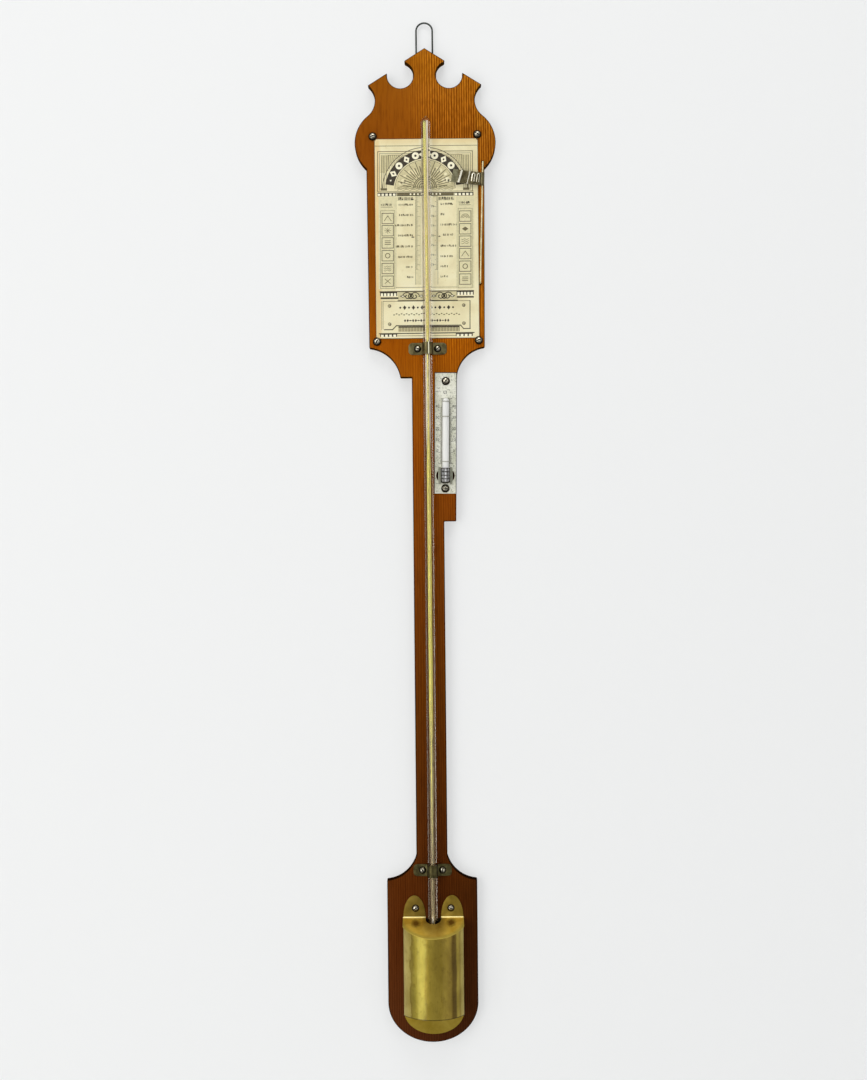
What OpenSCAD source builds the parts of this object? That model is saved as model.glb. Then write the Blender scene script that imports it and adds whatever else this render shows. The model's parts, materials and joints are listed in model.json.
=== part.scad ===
// Stick barometer: a shaped wall board that carries a siphon tube of mercury, a printed scale,
// a sliding index, a small thermometer and a brass cistern cover.
// Millimetres. The origin is the hanging point, inside the top of the wire loop.
// +Z is up, +Y points into the wall, and the front of the board faces -Y.

/* [Hanging loop] */
// Height of the hanging point above the peak of the board
peak_drop = 27.3; // [22:0.1:34]
// Height of the hanging point above the loop's hinge
hinge_drop = 48; // [44:0.5:52]
// Distance between the centres of the loop's two legs
loop_w = 16.8; // [14:0.2:19]
// Thickness of the loop's wire
loop_wire_d = 1.8; // [1.2:0.1:2.2]
// Inner bend where each leg turns into the hinge
loop_elbow_r = 1.4; // [1.3:0.1:1.8]
// Length of each hinge pin inside the knuckle
loop_pin_in = 5; // [3:0.5:5.5]
// Distance of the hinge line from the wall
hinge_depth = 2.1; // [2:0.05:2.6]
// Sheet of the hanger bracket
bracket_t = 0.8; // [0.6:0.1:1]
// Height of the bracket's screw plate below the hinge line
bracket_h = 14; // [12:0.5:15]

/* [Board] */
// Thickness of the board
board_t = 10; // [9:0.5:14]
// Height of the board from its peak to its round foot
board_h = 1024.8; // [1000:1:1060]
// Half width of the small diamond at the top of the crown
diamond_half_w = 20.9; // [19:0.1:23]
// Drop from the peak to the diamond's corners
diamond_drop = 13.2; // [12:0.1:15]
// Radius of the round bites beside the crown's neck
bite_r = 13.7; // [12:0.1:15]
// Width of the crown's neck between the bites
neck_w = 23; // [20:0.5:26]
// Drop from the peak to the centres of the bites
bite_drop = 27.7; // [26:0.1:30]
// Radius of the hollow below each horn
waist_r = 20.3; // [18:0.1:22]
// Drop from the peak to the centre of the hollow below each horn
waist_drop = 53.7; // [52:0.1:56]
// Radius of the round ears of the head
lobe_r = 36; // [34:0.5:38]
// Width of the head over its round ears
lobe_w = 145.4; // [143:0.2:150]
// Drop from the peak to the centres of the round ears
lobe_drop = 97.7; // [96:0.1:101]
// Width of the head at the top of its straight sides
head_top_w = 121.6; // [118:0.2:126]
// Width of the head at the bottom of its straight sides
head_w = 119; // [117:0.2:124]
// Drop from the peak to the bottom of the head's straight sides
head_drop = 309; // [305:1:325]
// Centre of the hollow below the head, out from its corner
cove_out = 4; // [3:0.1:5]
// Half width of the neck below the head, on the left
neck_left = 27.5; // [26:0.5:29]
// Height of the ledge on the left above the middle of the hollow over it
left_ledge_rise = 5.2; // [4:0.1:7]
// Half width of the thermometer's part of the board at its top
ledge_top = 30.4; // [29.5:0.1:32]
// Half width of the thermometer's part of the board at its bottom
ledge_bottom = 28.4; // [27.5:0.1:30]
// Drop from the bottom of the head to the thermometer's ledge
ledge_drop = 179.2; // [178:1:200]
// Width of the narrow shaft
shaft_w = 32; // [30:0.5:34]
// Width of the base
base_w = 92.8; // [88:0.2:98]
// Height of the base from its upper corners to its round foot
base_h = 167.4; // [166:0.2:172]
// Radius of the hollows where the shaft widens into the base
base_cove_r = 34; // [33:0.5:36]
// Centre of those hollows, out from the base's upper corners
base_cove_out = 2.5; // [1:0.1:3]
// Height of the foot's rounded part
foot_h = 41.2; // [34:0.2:44]

/* [Scale plate] */
// Width of the card under the printed scale
card_w = 107; // [100:0.5:108]
// Height of the card under the printed scale
card_h = 206.2; // [200:0.2:208]
// Thickness of the card
card_t = 0.6; // [0.4:0.1:0.8]
// Thickness of the printed paper
paper_t = 0.2; // [0.1:0.05:0.3]
// Margin of bare card round the paper
paper_margin = 0.6; // [0.3:0.1:1.5]
// Drop from the peak of the board to the top of the card
card_drop = 93.5; // [92:0.5:95]
// Sideways place of the card's middle
card_x = 0.9; // [0:0.1:1.5]
// Drop from the top of the card to the mercury's level at rest
reading_drop = 100.2; // [85:0.2:110]

/* [Barometer tube] */
// Outer diameter of the glass tube
tube_d = 9.3; // [8.5:0.1:9.8]
// Bore of the glass tube
bore_d = 1; // [0.9:0.1:2]
// Sideways place of the tube
tube_x = 0.5; // [0:0.1:1]
// Height of the tube's sealed tip above the top of the card
tip_rise = 21.9; // [15:0.1:26]
// Width of the coloured enamel stripe behind the bore
stripe_w = 3; // [2.4:0.1:3.6]
// Thickness of the enamel stripe
stripe_t = 0.5; // [0.3:0.05:0.7]
// Outer diameter of the open bulb
bulb_d = 21; // [18:0.5:22]
// Glass wall of the bulb
bulb_wall = 1; // [0.8:0.1:1.4]
// Distance from the tube's axis to the bulb's axis
bulb_span = 16.5; // [16:0.1:17]
// Angle that the bulb is turned forward from beside the tube
bulb_turn = 25; // [20:1:30]
// Height of the bulb's round body
bulb_h = 34; // [30:0.5:38]
// Drop from the roof fold to the centre of the tube's lower bend
bend_drop = 77.1; // [76:0.1:79]
// Height of the mercury in the bulb above the centre of the bend
pool_rise = 19; // [15:0.2:24]

/* [Clips] */
// Width of a tube clip
clip_w = 39.4; // [37:0.2:41]
// Height of a tube clip
clip_h = 12.3; // [10:0.1:14]
// Brass sheet of the clips
clip_t = 0.8; // [0.6:0.1:1]
// Drop from the bottom of the card to the middle of the upper clip
upper_clip_drop = 10.6; // [9:0.1:16]
// Height of the lower clip's middle above the base's upper corners
lower_clip_rise = 10.2; // [8:0.1:16]

/* [Cistern cover] */
// Width of the brass cover
cover_w = 61.8; // [59:0.2:66]
// Depth of the cover in front of its back plate
cover_depth = 31.5; // [30:0.1:34]
// Depth of the cover's straight cheeks
cheek_depth = 13.3; // [12:0.1:15]
// Brass sheet of the cover
cover_t = 0.8; // [0.6:0.1:1]
// Sideways place of the cover's middle
cover_x = 0.8; // [0:0.1:1.2]
// Drop from the base's upper corners to the fold of the roof
fold_drop = 38.2; // [34:0.1:40]
// Height of the cover from the fold down to its flat floor
cover_h = 97.1; // [96:0.1:99]
// Height of the back plate's round tail below the floor
tail_h = 23.4; // [20:0.1:25]
// Slope of the roof
roof_slope = 24; // [18:0.5:28]
// Height of the two screw ears above the fold
ear_h = 22.4; // [19:0.1:26]
// Width of the roof's notch for the tube
notch_w = 15.9; // [14:0.1:18]
// Depth of the notch in front of the board
notch_reach = 11; // [10.9:0.1:13]
// Overhang of the roof over the cover's wall
roof_lip = 0.6; // [0.3:0.1:1]

/* [Thermometer] */
// Width of the thermometer's plate
therm_w = 22.9; // [21:0.1:23.4]
// Height of the thermometer's plate
therm_h = 124.8; // [122:0.2:130]
// Thickness of the thermometer's plate
therm_t = 1; // [0.8:0.1:1.4]
// Drop from the bottom of the head to the top of the thermometer's plate
therm_drop = 25.8; // [25.5:0.1:29]
// Sideways place of the middle of the thermometer's plate at its top
therm_x = 19; // [18.5:0.05:19.1]
// Lean of the thermometer, whose foot stands nearer to the tube than its top
therm_lean = 0.75; // [0:0.05:0.8]
// Outer diameter of the thermometer's glass
therm_tube_d = 7; // [6:0.1:7.4]
// Drop from the plate's top to the tip of the thermometer's glass
therm_tip_drop = 26.7; // [20:0.1:30]
// Diameter of the thermometer's bulb
therm_bulb_d = 8.8; // [7.6:0.1:9]
// Height of the thermometer's bulb
therm_bulb_h = 13; // [11:0.5:14]
// Height of the middle of the bulb's window above the plate's foot
window_rise = 18.5; // [18:0.1:19.5]
// Width of the oval window round the bulb
window_w = 19.2; // [18:0.1:20]
// Height of the oval window round the bulb
window_h = 16.2; // [15:0.1:17]
// Width of the guard's grille
grille_w = 10.8; // [10.6:0.1:11.4]
// Bars of the guard's grille
grille_bar = 0.9; // [0.6:0.1:1.1]

/* [Index] */
// Thickness of the index rod
rod_d = 1.6; // [1.2:0.1:1.8]
// Distance from the board's face to the middle of the rod
rod_stand = 4.2; // [4:0.1:5.5]
// Distance from the edge of the head to the rod's top
rod_inset_top = 1.7; // [1.5:0.1:3]
// Distance from the edge of the head to the rod's bottom
rod_inset_bottom = 4.1; // [3.9:0.1:4.6]
// Drop from the top of the card to the rod's top
rod_drop = 24.4; // [22:0.1:26]
// Height of the rod between its two bends
rod_h = 125.7; // [110:0.1:130]
// Drop from the rod's top to the middle of the index
index_drop = 18.9; // [13:0.1:60]
// Reach of the index leaf from the rod
index_reach = 32.6; // [28:0.1:34]
// Height of the index leaf
index_h = 13.2; // [10:0.1:15]
// Sheet of the index leaf
index_t = 0.4; // [0.3:0.05:0.5]
// Tilt of the leaf from square to its rod
index_tilt = 6.5; // [0:0.5:8]

/* [Screws] */
// Head of the screws at the scale's corners
scale_head_d = 8.6; // [7.6:0.1:9.2]
// Head of the thermometer's screws
therm_head_d = 8.8; // [7.6:0.1:9]
// Head of the clips' and the cover's screws
small_head_d = 7.6; // [6.8:0.1:8]
// Shank of the round headed screws
shank_d = 3.2; // [2.6:0.1:3.6]
// Length of wood that the screws hold
screw_grip = 7; // [5:0.5:8]
// Head of the hanger's screws
hanger_head_d = 4.6; // [4:0.1:5]

/* [Hidden] */
$fn = 64;
// How far a cutting shape runs past the face that it cuts
past = 1;
// Gap where glass lies beside something, and where liquid lies in glass
glass_gap = 0.1;
liquid_gap = 0.05;
// Gap round a screw's shank, and round a pin or a rod that turns or slides
shank_gap = 0.05;
running_gap = 0.08;

// Heights
board_top = -peak_drop;
board_bottom = board_top - board_h;
head_bottom = board_top - head_drop;
ledge_z = head_bottom - ledge_drop;
base_top = board_bottom + base_h;
card_top = board_top - card_drop;
card_bottom = card_top - card_h;
hinge_z = -hinge_drop;
fold_z = base_top - fold_drop;
floor_z = fold_z - cover_h;
bend_z = fold_z - bend_drop;
pool_z = bend_z + pool_rise;
level_z = card_top - reading_drop;
tip_z = card_top + tip_rise;
therm_top = head_bottom - therm_drop;
window_drop = therm_h - window_rise;
upper_clip_z = card_bottom - upper_clip_drop;
lower_clip_z = base_top + lower_clip_rise;

// Depths, counted in front of the wall as negative Y
face_y = -board_t;
card_y = face_y - card_t;
paper_y = card_y - paper_t;
tube_y = paper_y - glass_gap - tube_d / 2;
cover_back_y = face_y - cover_t;
therm_face_y = face_y - therm_t;
therm_y = therm_face_y - glass_gap - therm_tube_d / 2;
rod_y = face_y - rod_stand;

// Rounding of the small nipple at the tube's sealed tip
nipple_d = 2.4;
nipple_h = 1.6;
tip_wall = 5;

// Hanging hinge
wire_r = loop_wire_d / 2;
knuckle_r = wire_r + running_gap + bracket_t;
knuckle_side_gap = 0.5;
knuckle_w = loop_w - 2 * loop_elbow_r - 2 * knuckle_side_gap;
// The bracket's plate is let into the knuckle by half its own thickness
recess_d = hinge_depth + knuckle_r + bracket_t / 2;
recess_side_gap = 2;
recess_w = loop_w + loop_wire_d + 2 * recess_side_gap;
recess_below = 3;
recess_bottom = hinge_z - bracket_h - recess_below;
hanger_shank_d = 2.2;
hanger_grip = 4;
hanger_head_h = 1.1;
hanger_screw_x = knuckle_w / 4;
hanger_screw_z = hinge_z - bracket_h / 2 - knuckle_r / 2;

// Screws: a head's height is this share of its diameter
head_share = 0.3;
slot_w = 0.9;
slot_depth = 0.9;
shank_end_gap = 0.5;

// Clip over the tube
strap_r = tube_d / 2 + glass_gap;
clip_end_r = 4;
clip_screw_gap = 0.9;
clip_screw_x = strap_r + clip_t + small_head_d / 2 + clip_screw_gap;
pad_gap = 0.05;

// Outline points along an arc, from one angle to another
function arc_points(c, r, from, to, steps = 14) =
    [for (i = [0:steps]) let (a = from + (to - from) * i / steps) c + r * [cos(a), sin(a)]];

function ellipse_points(c, rx, ry, from, to, steps = 20) =
    [for (i = [0:steps]) let (a = from + (to - from) * i / steps) c + [rx * cos(a), ry * sin(a)]];

function mirrored(points) =
    [for (i = [len(points) - 1:-1:0]) [-points[i][0], points[i][1]]];

// Circles that make up the board's outline, on its right side
bite_c = [neck_w / 2 + bite_r, board_top - bite_drop];
lobe_c = [lobe_w / 2 - lobe_r, board_top - lobe_drop];
waist_dz = lobe_drop - waist_drop;
waist_dx = sqrt(pow(waist_r + lobe_r, 2) - pow(waist_dz, 2));
waist_c = [lobe_c[0] + waist_dx, board_top - waist_drop];
waist_angle = atan2(waist_dz, waist_dx);
bite_from_angle = 112;
bite_to_angle = 368.7;
horn_angle = 130;
lobe_end_angle = -acos((head_top_w / 2 - lobe_c[0]) / lobe_r);
cove_x = head_w / 2 + cove_out;
base_cove_x = base_w / 2 + base_cove_out;
base_cove_z = base_top + sqrt(pow(base_cove_r, 2) - pow(base_cove_x - base_w / 2, 2));
base_cove_from_angle = 180 + acos(min(1, (base_cove_x - shaft_w / 2) / base_cove_r));
base_cove_to_angle = 270 - asin((base_cove_x - base_w / 2) / base_cove_r);

// The hollow under the head ends at half width neck; the step below it differs left and right
function cove_z(neck) = head_bottom - sqrt(pow(cove_x - neck, 2) - pow(cove_out, 2));
function cove_points(neck, rise) = let (r = cove_x - neck)
    arc_points([cove_x, cove_z(neck)], r, 90 + asin(cove_out / r), 180 - asin(rise / r));

function half_outline(neck, rise, step) = concat(
    [[0, board_top], [diamond_half_w, board_top - diamond_drop]],
    arc_points(bite_c, bite_r, bite_from_angle, bite_to_angle, 26),
    arc_points(waist_c, waist_r, horn_angle, 180 + waist_angle),
    arc_points(lobe_c, lobe_r, waist_angle, lobe_end_angle, 20),
    [[head_w / 2, head_bottom]],
    cove_points(neck, rise),
    step,
    arc_points([base_cove_x, base_cove_z], base_cove_r, base_cove_from_angle, base_cove_to_angle),
    ellipse_points([0, board_bottom + foot_h], base_w / 2, foot_h, 0, -88, 22));

function right_step() = [[ledge_bottom, ledge_z], [shaft_w / 2, ledge_z]];
function left_step() = [[shaft_w / 2, cove_z(neck_left) + left_ledge_rise]];

module board_outline() {
    polygon(concat(half_outline(ledge_top, 0, right_step()),
        mirrored(half_outline(neck_left, left_ledge_rise, left_step()))));
}

// A flat shape drawn in X and Z becomes a slab from y back to y - t
module slab(y, t) {
    translate([0, y, 0]) rotate([90, 0, 0]) linear_extrude(t) children();
}

// A round hole or rod along Y, from y forward by h
module along_y(x, y, z, d, h) {
    translate([x, y, z]) rotate([90, 0, 0]) cylinder(h = h, d = d);
}

// Round headed screw at place p, whose head sits t in front of the board; turn is its slot's angle
module round_screw(p, t, head_d, turn) {
    grip = screw_grip + t - shank_end_gap;
    head_h = head_d * head_share;
    ball_r = (head_d * head_d / 4 + head_h * head_h) / (2 * head_h);
    translate([p[0], face_y - t, p[1]]) rotate([90, 0, 0]) {
        difference() {
            intersection() {
                translate([0, 0, head_h - ball_r]) sphere(r = ball_r);
                cylinder(h = head_h + past, d = head_d + past);
            }
            rotate([0, 0, turn]) translate([-head_d, -slot_w / 2, head_h - slot_depth])
                cube([2 * head_d, slot_w, slot_depth + past]);
        }
        translate([0, 0, -grip]) cylinder(h = grip + head_h / 2, d = shank_d);
    }
}

// Blind hole in the board's front for a screw at place p
module shank_hole(p, depth) {
    along_y(p[0], face_y + depth, p[1], shank_d + 2 * shank_gap, depth + past);
}

// Hole for a screw at place p through a sheet of thickness t on the board's front
module sheet_hole(p, t) {
    along_y(p[0], face_y + past, p[1], shank_d + 2 * shank_gap, t + 2 * past);
}

// Places of the screws. Those of the scale stand just outside the card's corners
corner_steps = [[-1.5, 2.5], [-0.7, 3.8], [1.1, -2.8], [-1.1, -2.3]];
function side(i) = i % 2 == 0 ? -1 : 1;
function scale_screw(i) =
    [card_x + side(i) * card_w / 2, i < 2 ? card_top : card_bottom] + corner_steps[i];
function clip_screw(i) = [tube_x + side(i) * clip_screw_x, i < 2 ? upper_clip_z : lower_clip_z];
ear_half = (cover_w - notch_w) / 4;
ear_x = notch_w / 2 + ear_half;
ear_screw_in = 1.2;
ear_screw_rise = 9.2;
function ear_screw(i) = [cover_x + side(i) * (ear_x - ear_screw_in), fold_z + ear_screw_rise];
// Those of the thermometer are counted in its own frame, from the plate's top
therm_screw_top = 8.9;
therm_screw_bottom = 5.3;
function therm_screw(i) = [0, i == 0 ? -therm_screw_top : -therm_h + therm_screw_bottom];
// Angles that the screws' slots were left at
turns = [20, -35, 60, 10, -15, 40, -60, 75, 30, -20, 55, -10];

// Rod line, from its top bend to its bottom bend
rod_top_x = head_top_w / 2 - rod_inset_top;
rod_bottom_x = head_w / 2 - rod_inset_bottom;
rod_top_z = card_top - rod_drop;
rod_bend_r = 2.4;
rod_grip = 6;
rod_lean = atan2(rod_top_x - rod_bottom_x, rod_h);
rod_len = rod_h / cos(rod_lean);

module on_rod() {
    translate([rod_top_x, rod_y, rod_top_z]) rotate([0, rod_lean, 0]) children();
}

// Frame of the thermometer: X counts from the plate's middle and Z from its top
module on_therm() {
    translate([therm_x, 0, therm_top]) rotate([0, therm_lean, 0]) children();
}

module window_shape(grow = 0) {
    polygon(ellipse_points([0, -window_drop], window_w / 2 + grow, window_h / 2 + grow, 0, 354, 59));
}
pocket_d = 3;
pocket_in = 1;

module backboard() color([0.62, 0.3, 0.1]) {
    difference() {
        slab(0, board_t) board_outline();
        for (i = [0:3]) shank_hole(scale_screw(i), screw_grip);
        for (i = [0:3]) shank_hole(clip_screw(i), screw_grip);
        for (i = [0:1]) shank_hole(ear_screw(i), screw_grip);
        on_therm() for (i = [0:1]) shank_hole(therm_screw(i), screw_grip);
        for (i = [-1, 1]) along_y(i * hanger_screw_x, -recess_d + past, hanger_screw_z,
            hanger_shank_d + 2 * shank_gap, hanger_grip + past);
        translate([-recess_w / 2, -recess_d, recess_bottom])
            cube([recess_w, recess_d + past, board_top - recess_bottom + past]);
        on_rod() for (z = [0, -rod_len])
            along_y(0, rod_stand + rod_grip, z, rod_d + 2 * shank_gap, rod_grip + past);
        on_therm() slab(face_y + pocket_d, pocket_d + past) window_shape(-pocket_in);
    }
}

module card_shape(margin) {
    translate([card_x - card_w / 2 + margin, card_bottom + margin])
        square([card_w - 2 * margin, card_h - 2 * margin]);
}

module scale_card() color([0.8, 0.72, 0.5]) slab(face_y, card_t) card_shape(0);

module scale_paper() color([0.93, 0.88, 0.66]) slab(card_y, paper_t) card_shape(paper_margin);

module scale_screws() color([0.5, 0.42, 0.2])
    for (i = [0:3]) round_screw(scale_screw(i), card_t + paper_t, scale_head_d, turns[i]);

// Siphon tube: straight tube, lower bend and open bulb
bend_r = bulb_span / 2;
bulb_x = tube_x + bulb_span * cos(bulb_turn);
bulb_y = tube_y - bulb_span * sin(bulb_turn);
bulb_low = 4;
bulb_flare = 6;
bulb_neck_d = 8;
bulb_neck_h = 5;
neck_wall = 1.1;

// Lower half of the bulb's profile, as radius and height above the centre of the bend
function bulb_low_profile(inset, foot_r) = let (r = bulb_d / 2 - inset, rise = bulb_flare - inset)
    [[0, 0], [foot_r, 0],
     for (a = [0:15:90]) [foot_r + (r - foot_r) * sin(a), bulb_low + bulb_flare - rise * cos(a)]];

// Upper half of it, which ends in the open neck
function bulb_high_profile(inset, neck_r, top) = let (r = bulb_d / 2 - inset, rise = bulb_flare - inset)
    [for (a = [0:15:90]) [neck_r + (r - neck_r) * cos(a), bulb_low + bulb_h - bulb_flare + rise * sin(a)],
     [neck_r, top], [0, top]];
bulb_top = bulb_low + bulb_h + bulb_neck_h;

// Frame of the siphon: the tube's axis is Z, the bulb lies along X, and the bend's centre is at Z 0
module siphon() {
    translate([tube_x, tube_y, bend_z]) rotate([0, 0, -bulb_turn]) children();
}

// Half ring of the lower bend
module bend(r) {
    translate([bend_r, 0, 0]) rotate([90, 0, 0]) rotate([0, 0, 180]) rotate_extrude(angle = 180)
        translate([bend_r, 0]) circle(r = r);
}

module bulb_leg(points) {
    translate([bulb_span, 0, 0]) rotate_extrude() polygon(points);
}

module straight_tube() {
    r = tube_d / 2;
    h = tip_z - nipple_h - bend_z;
    rotate_extrude() polygon(concat([[0, 0], [r, 0]],
        [for (a = [0:15:75]) [r * cos(a), h - r + r * sin(a)]],
        [[nipple_d / 2, h], [nipple_d / 4, h + nipple_h], [0, h + nipple_h]]));
}

stripe_back_gap = 0.4;
module stripe() {
    rotate([0, 0, bulb_turn]) translate([-stripe_w / 2, bore_d / 2 + stripe_back_gap, pool_rise])
        cube([stripe_w, stripe_t, tip_z - tip_wall - pool_z]);
}

module barometer_tube() color([0.85, 0.9, 0.88, 0.6]) siphon()
    difference() {
        union() {
            straight_tube();
            bend(tube_d / 2);
            bulb_leg(concat(bulb_low_profile(0, tube_d / 2),
                bulb_high_profile(0, bulb_neck_d / 2, bulb_top)));
        }
        union() {
            cylinder(h = tip_z - tip_wall - bend_z, d = bore_d);
            bend(bore_d / 2);
            bulb_leg(concat(bulb_low_profile(bulb_wall, bore_d / 2),
                bulb_high_profile(bulb_wall, bulb_neck_d / 2 - neck_wall, bulb_top + past)));
        }
        stripe();
    }

module tube_enamel_stripe() color([0.85, 0.83, 0.25]) siphon() stripe();

// Mercury: the pool with the lower thread, the upper thread that the air's pressure lengthens, and its top
thread_r = bore_d / 2 - liquid_gap;
thread_split_drop = 79;
thread_split = level_z - thread_split_drop;
meniscus_h = 1.5;

module mercury_pool() color([0.75, 0.76, 0.78]) siphon() {
    bulb_leg(concat(bulb_low_profile(bulb_wall + liquid_gap, thread_r),
        [[bulb_d / 2 - bulb_wall - liquid_gap, pool_rise], [0, pool_rise]]));
    bend(thread_r);
    cylinder(h = thread_split - bend_z, r = thread_r);
}

module mercury_column() color([0.75, 0.76, 0.78])
    translate([tube_x, tube_y, thread_split])
        cylinder(h = level_z - meniscus_h - thread_split, r = thread_r);

module mercury_meniscus() color([0.75, 0.76, 0.78])
    translate([tube_x, tube_y, level_z - meniscus_h]) intersection() {
        cylinder(h = meniscus_h, r = thread_r);
        translate([0, 0, meniscus_h - 2 * thread_r]) sphere(r = 2 * thread_r);
    }

stopper_cap_h = 3;
stopper_in = 4;
module bulb_stopper() color([0.7, 0.55, 0.35]) translate([bulb_x, bulb_y, bend_z]) {
    translate([0, 0, bulb_top - stopper_in])
        cylinder(h = stopper_in, r = bulb_neck_d / 2 - neck_wall - liquid_gap);
    translate([0, 0, bulb_top]) cylinder(h = stopper_cap_h, r = bulb_neck_d / 2);
}

cushion_w = 24;
cushion_gap = 0.3;
module bulb_cushion() color([0.4, 0.38, 0.35]) {
    top = bend_z - bend_r - tube_d / 2 - cushion_gap;
    translate([(tube_x + bulb_x - cushion_w) / 2, cover_back_y - cover_depth / 2, floor_z + cover_t])
        cube([cushion_w, cover_depth / 2 - glass_gap, top - floor_z - cover_t]);
}

module tube_pads() color([0.3, 0.25, 0.2])
    for (z = [upper_clip_z, lower_clip_z])
        translate([tube_x - tube_d / 2 + 1, tube_y + tube_d / 2 + pad_gap, z - clip_h / 2 + 1])
            cube([tube_d - 2, face_y - tube_y - tube_d / 2 - pad_gap, clip_h - 2]);

// Clip: two flat feet and a strap over the tube, with rounded ends
module clip_section() {
    reach = clip_w / 2;
    translate([tube_x, tube_y]) difference() {
        union() {
            circle(r = strap_r + clip_t);
            translate([-strap_r - clip_t, 0]) square([2 * (strap_r + clip_t), face_y - tube_y]);
            translate([-reach, face_y - tube_y - clip_t]) square([2 * reach, clip_t]);
        }
        circle(r = strap_r);
        translate([-strap_r, 0]) square([2 * strap_r, face_y - tube_y + past]);
    }
}

module rounded_bar(w, h, r) {
    polygon([for (c = [[1, 1, 0], [-1, 1, 90], [-1, -1, 180], [1, -1, 270]]) each
        arc_points([c[0] * (w / 2 - r), c[1] * (h / 2 - r)], r, c[2], c[2] + 90, 6)]);
}

// Clip at height z, held by the clip screws i and i + 1
module tube_clip(z, i) {
    difference() {
        intersection() {
            translate([0, 0, z - clip_h / 2]) linear_extrude(clip_h) clip_section();
            slab(0, tube_d - tube_y) translate([tube_x, z]) rounded_bar(clip_w, clip_h, clip_end_r);
        }
        for (j = [i, i + 1]) sheet_hole(clip_screw(j), clip_t);
    }
}

module upper_tube_clip() color([0.35, 0.32, 0.15]) tube_clip(upper_clip_z, 0);

module lower_tube_clip() color([0.35, 0.32, 0.15]) tube_clip(lower_clip_z, 2);

module clip_screws() color([0.4, 0.36, 0.2])
    for (i = [0:3]) round_screw(clip_screw(i), clip_t, small_head_d, turns[i + 4]);

// Cistern cover. Its plan is a D: straight cheeks closed by an arc
arc_sagitta = cover_depth - cheek_depth;
arc_r = (cover_w * cover_w / 4 + arc_sagitta * arc_sagitta) / (2 * arc_sagitta);
arc_y = face_y - cover_depth + arc_r;

module cover_plan(grow) {
    intersection() {
        translate([cover_x - cover_w / 2 - grow, face_y - 2 * cover_depth])
            square([cover_w + 2 * grow, 2 * cover_depth]);
        translate([cover_x, arc_y]) circle(r = arc_r + grow, $fn = 128);
    }
}

// Space under a plane that falls away from the fold, d below the roof's upper face
module under_roof(d) {
    drop = 2 * cover_depth * tan(roof_slope);
    translate([cover_x - cover_w, 0, 0]) rotate([90, 0, 90]) linear_extrude(2 * cover_w)
        polygon([[face_y + past, floor_z - past], [face_y + past, fold_z - d + past * tan(roof_slope)],
            [face_y - 2 * cover_depth, fold_z - d - drop], [face_y - 2 * cover_depth, floor_z - past]]);
}
roof_rise = cover_t / cos(roof_slope);

module cistern_shell() color([0.62, 0.55, 0.2]) {
    difference() {
        intersection() {
            translate([0, 0, floor_z]) linear_extrude(cover_h) cover_plan(0);
            under_roof(roof_rise);
        }
        translate([0, 0, floor_z - past]) linear_extrude(cover_h + 2 * past) cover_plan(-cover_t);
        translate([cover_x - cover_w, cover_back_y, floor_z - past])
            cube([2 * cover_w, cover_t + past, cover_h + 2 * past]);
    }
}

module ear_shape() {
    for (x = [cover_x - ear_x, cover_x + ear_x]) polygon(concat(
        ellipse_points([x, fold_z], ear_half, ear_h, 0, 180, 30),
        [[x - ear_half, fold_z - roof_rise], [x + ear_half, fold_z - roof_rise]]));
}

module cistern_roof() color([0.72, 0.55, 0.2]) {
    difference() {
        union() {
            difference() {
                intersection() {
                    translate([0, 0, floor_z]) linear_extrude(cover_h) cover_plan(roof_lip);
                    under_roof(0);
                }
                under_roof(roof_rise);
            }
            slab(face_y, cover_t) ear_shape();
        }
        translate([0, 0, floor_z]) linear_extrude(cover_h + ear_h + past) polygon(concat(
            [[cover_x + notch_w / 2, face_y + past]], [[cover_x - notch_w / 2, face_y + past]],
            arc_points([cover_x, face_y - notch_reach + notch_w / 2], notch_w / 2, 180, 360, 20)));
        for (i = [0:1]) sheet_hole(ear_screw(i), cover_t);
    }
}

// The back plate ends where the roof's sheet is folded over it
module cistern_backplate() color([0.55, 0.48, 0.2]) {
    top = fold_z - roof_rise - cover_t * tan(roof_slope);
    slab(face_y, cover_t) polygon(concat([[cover_x + cover_w / 2, top], [cover_x - cover_w / 2, top]],
        ellipse_points([cover_x, floor_z], cover_w / 2, tail_h, 180, 360, 40)));
}

module cistern_floor() color([0.55, 0.48, 0.2])
    translate([0, 0, floor_z]) linear_extrude(cover_t) difference() {
        cover_plan(-cover_t);
        translate([cover_x - cover_w, cover_back_y]) square([2 * cover_w, cover_t + past]);
    }

module cistern_screws() color([0.4, 0.36, 0.2])
    for (i = [0:1]) round_screw(ear_screw(i), cover_t, small_head_d, turns[i + 8]);

// Thermometer, all in its own frame
staple_wire_d = 0.7;
staple_r = therm_tube_d / 2 + glass_gap + staple_wire_d / 2;
// Two staples hold the top of the glass, counted from its tip, and one stands above the bulb
tip_staples = [3.6, 19.1];
bulb_staple = 14.2;
staple_drops = [therm_tip_drop + tip_staples[0], therm_tip_drop + tip_staples[1], window_drop - bulb_staple];
therm_wall = 0.8;
therm_bore_d = 0.9;
therm_foot = -window_drop - therm_bulb_h / 2;
therm_glass_h = -therm_tip_drop - therm_foot;
therm_reading_h = 50;

module thermometer_plate() color([0.8, 0.8, 0.74]) on_therm()
    difference() {
        slab(face_y, therm_t) translate([-therm_w / 2, -therm_h]) square([therm_w, therm_h]);
        slab(face_y + past, therm_t + 2 * past) window_shape();
        for (i = [0:1]) sheet_hole(therm_screw(i), therm_t);
        for (d = staple_drops, s = [-1, 1])
            along_y(s * staple_r, face_y + past, -d, staple_wire_d + 2 * shank_gap, therm_t + 2 * past);
    }

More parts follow.
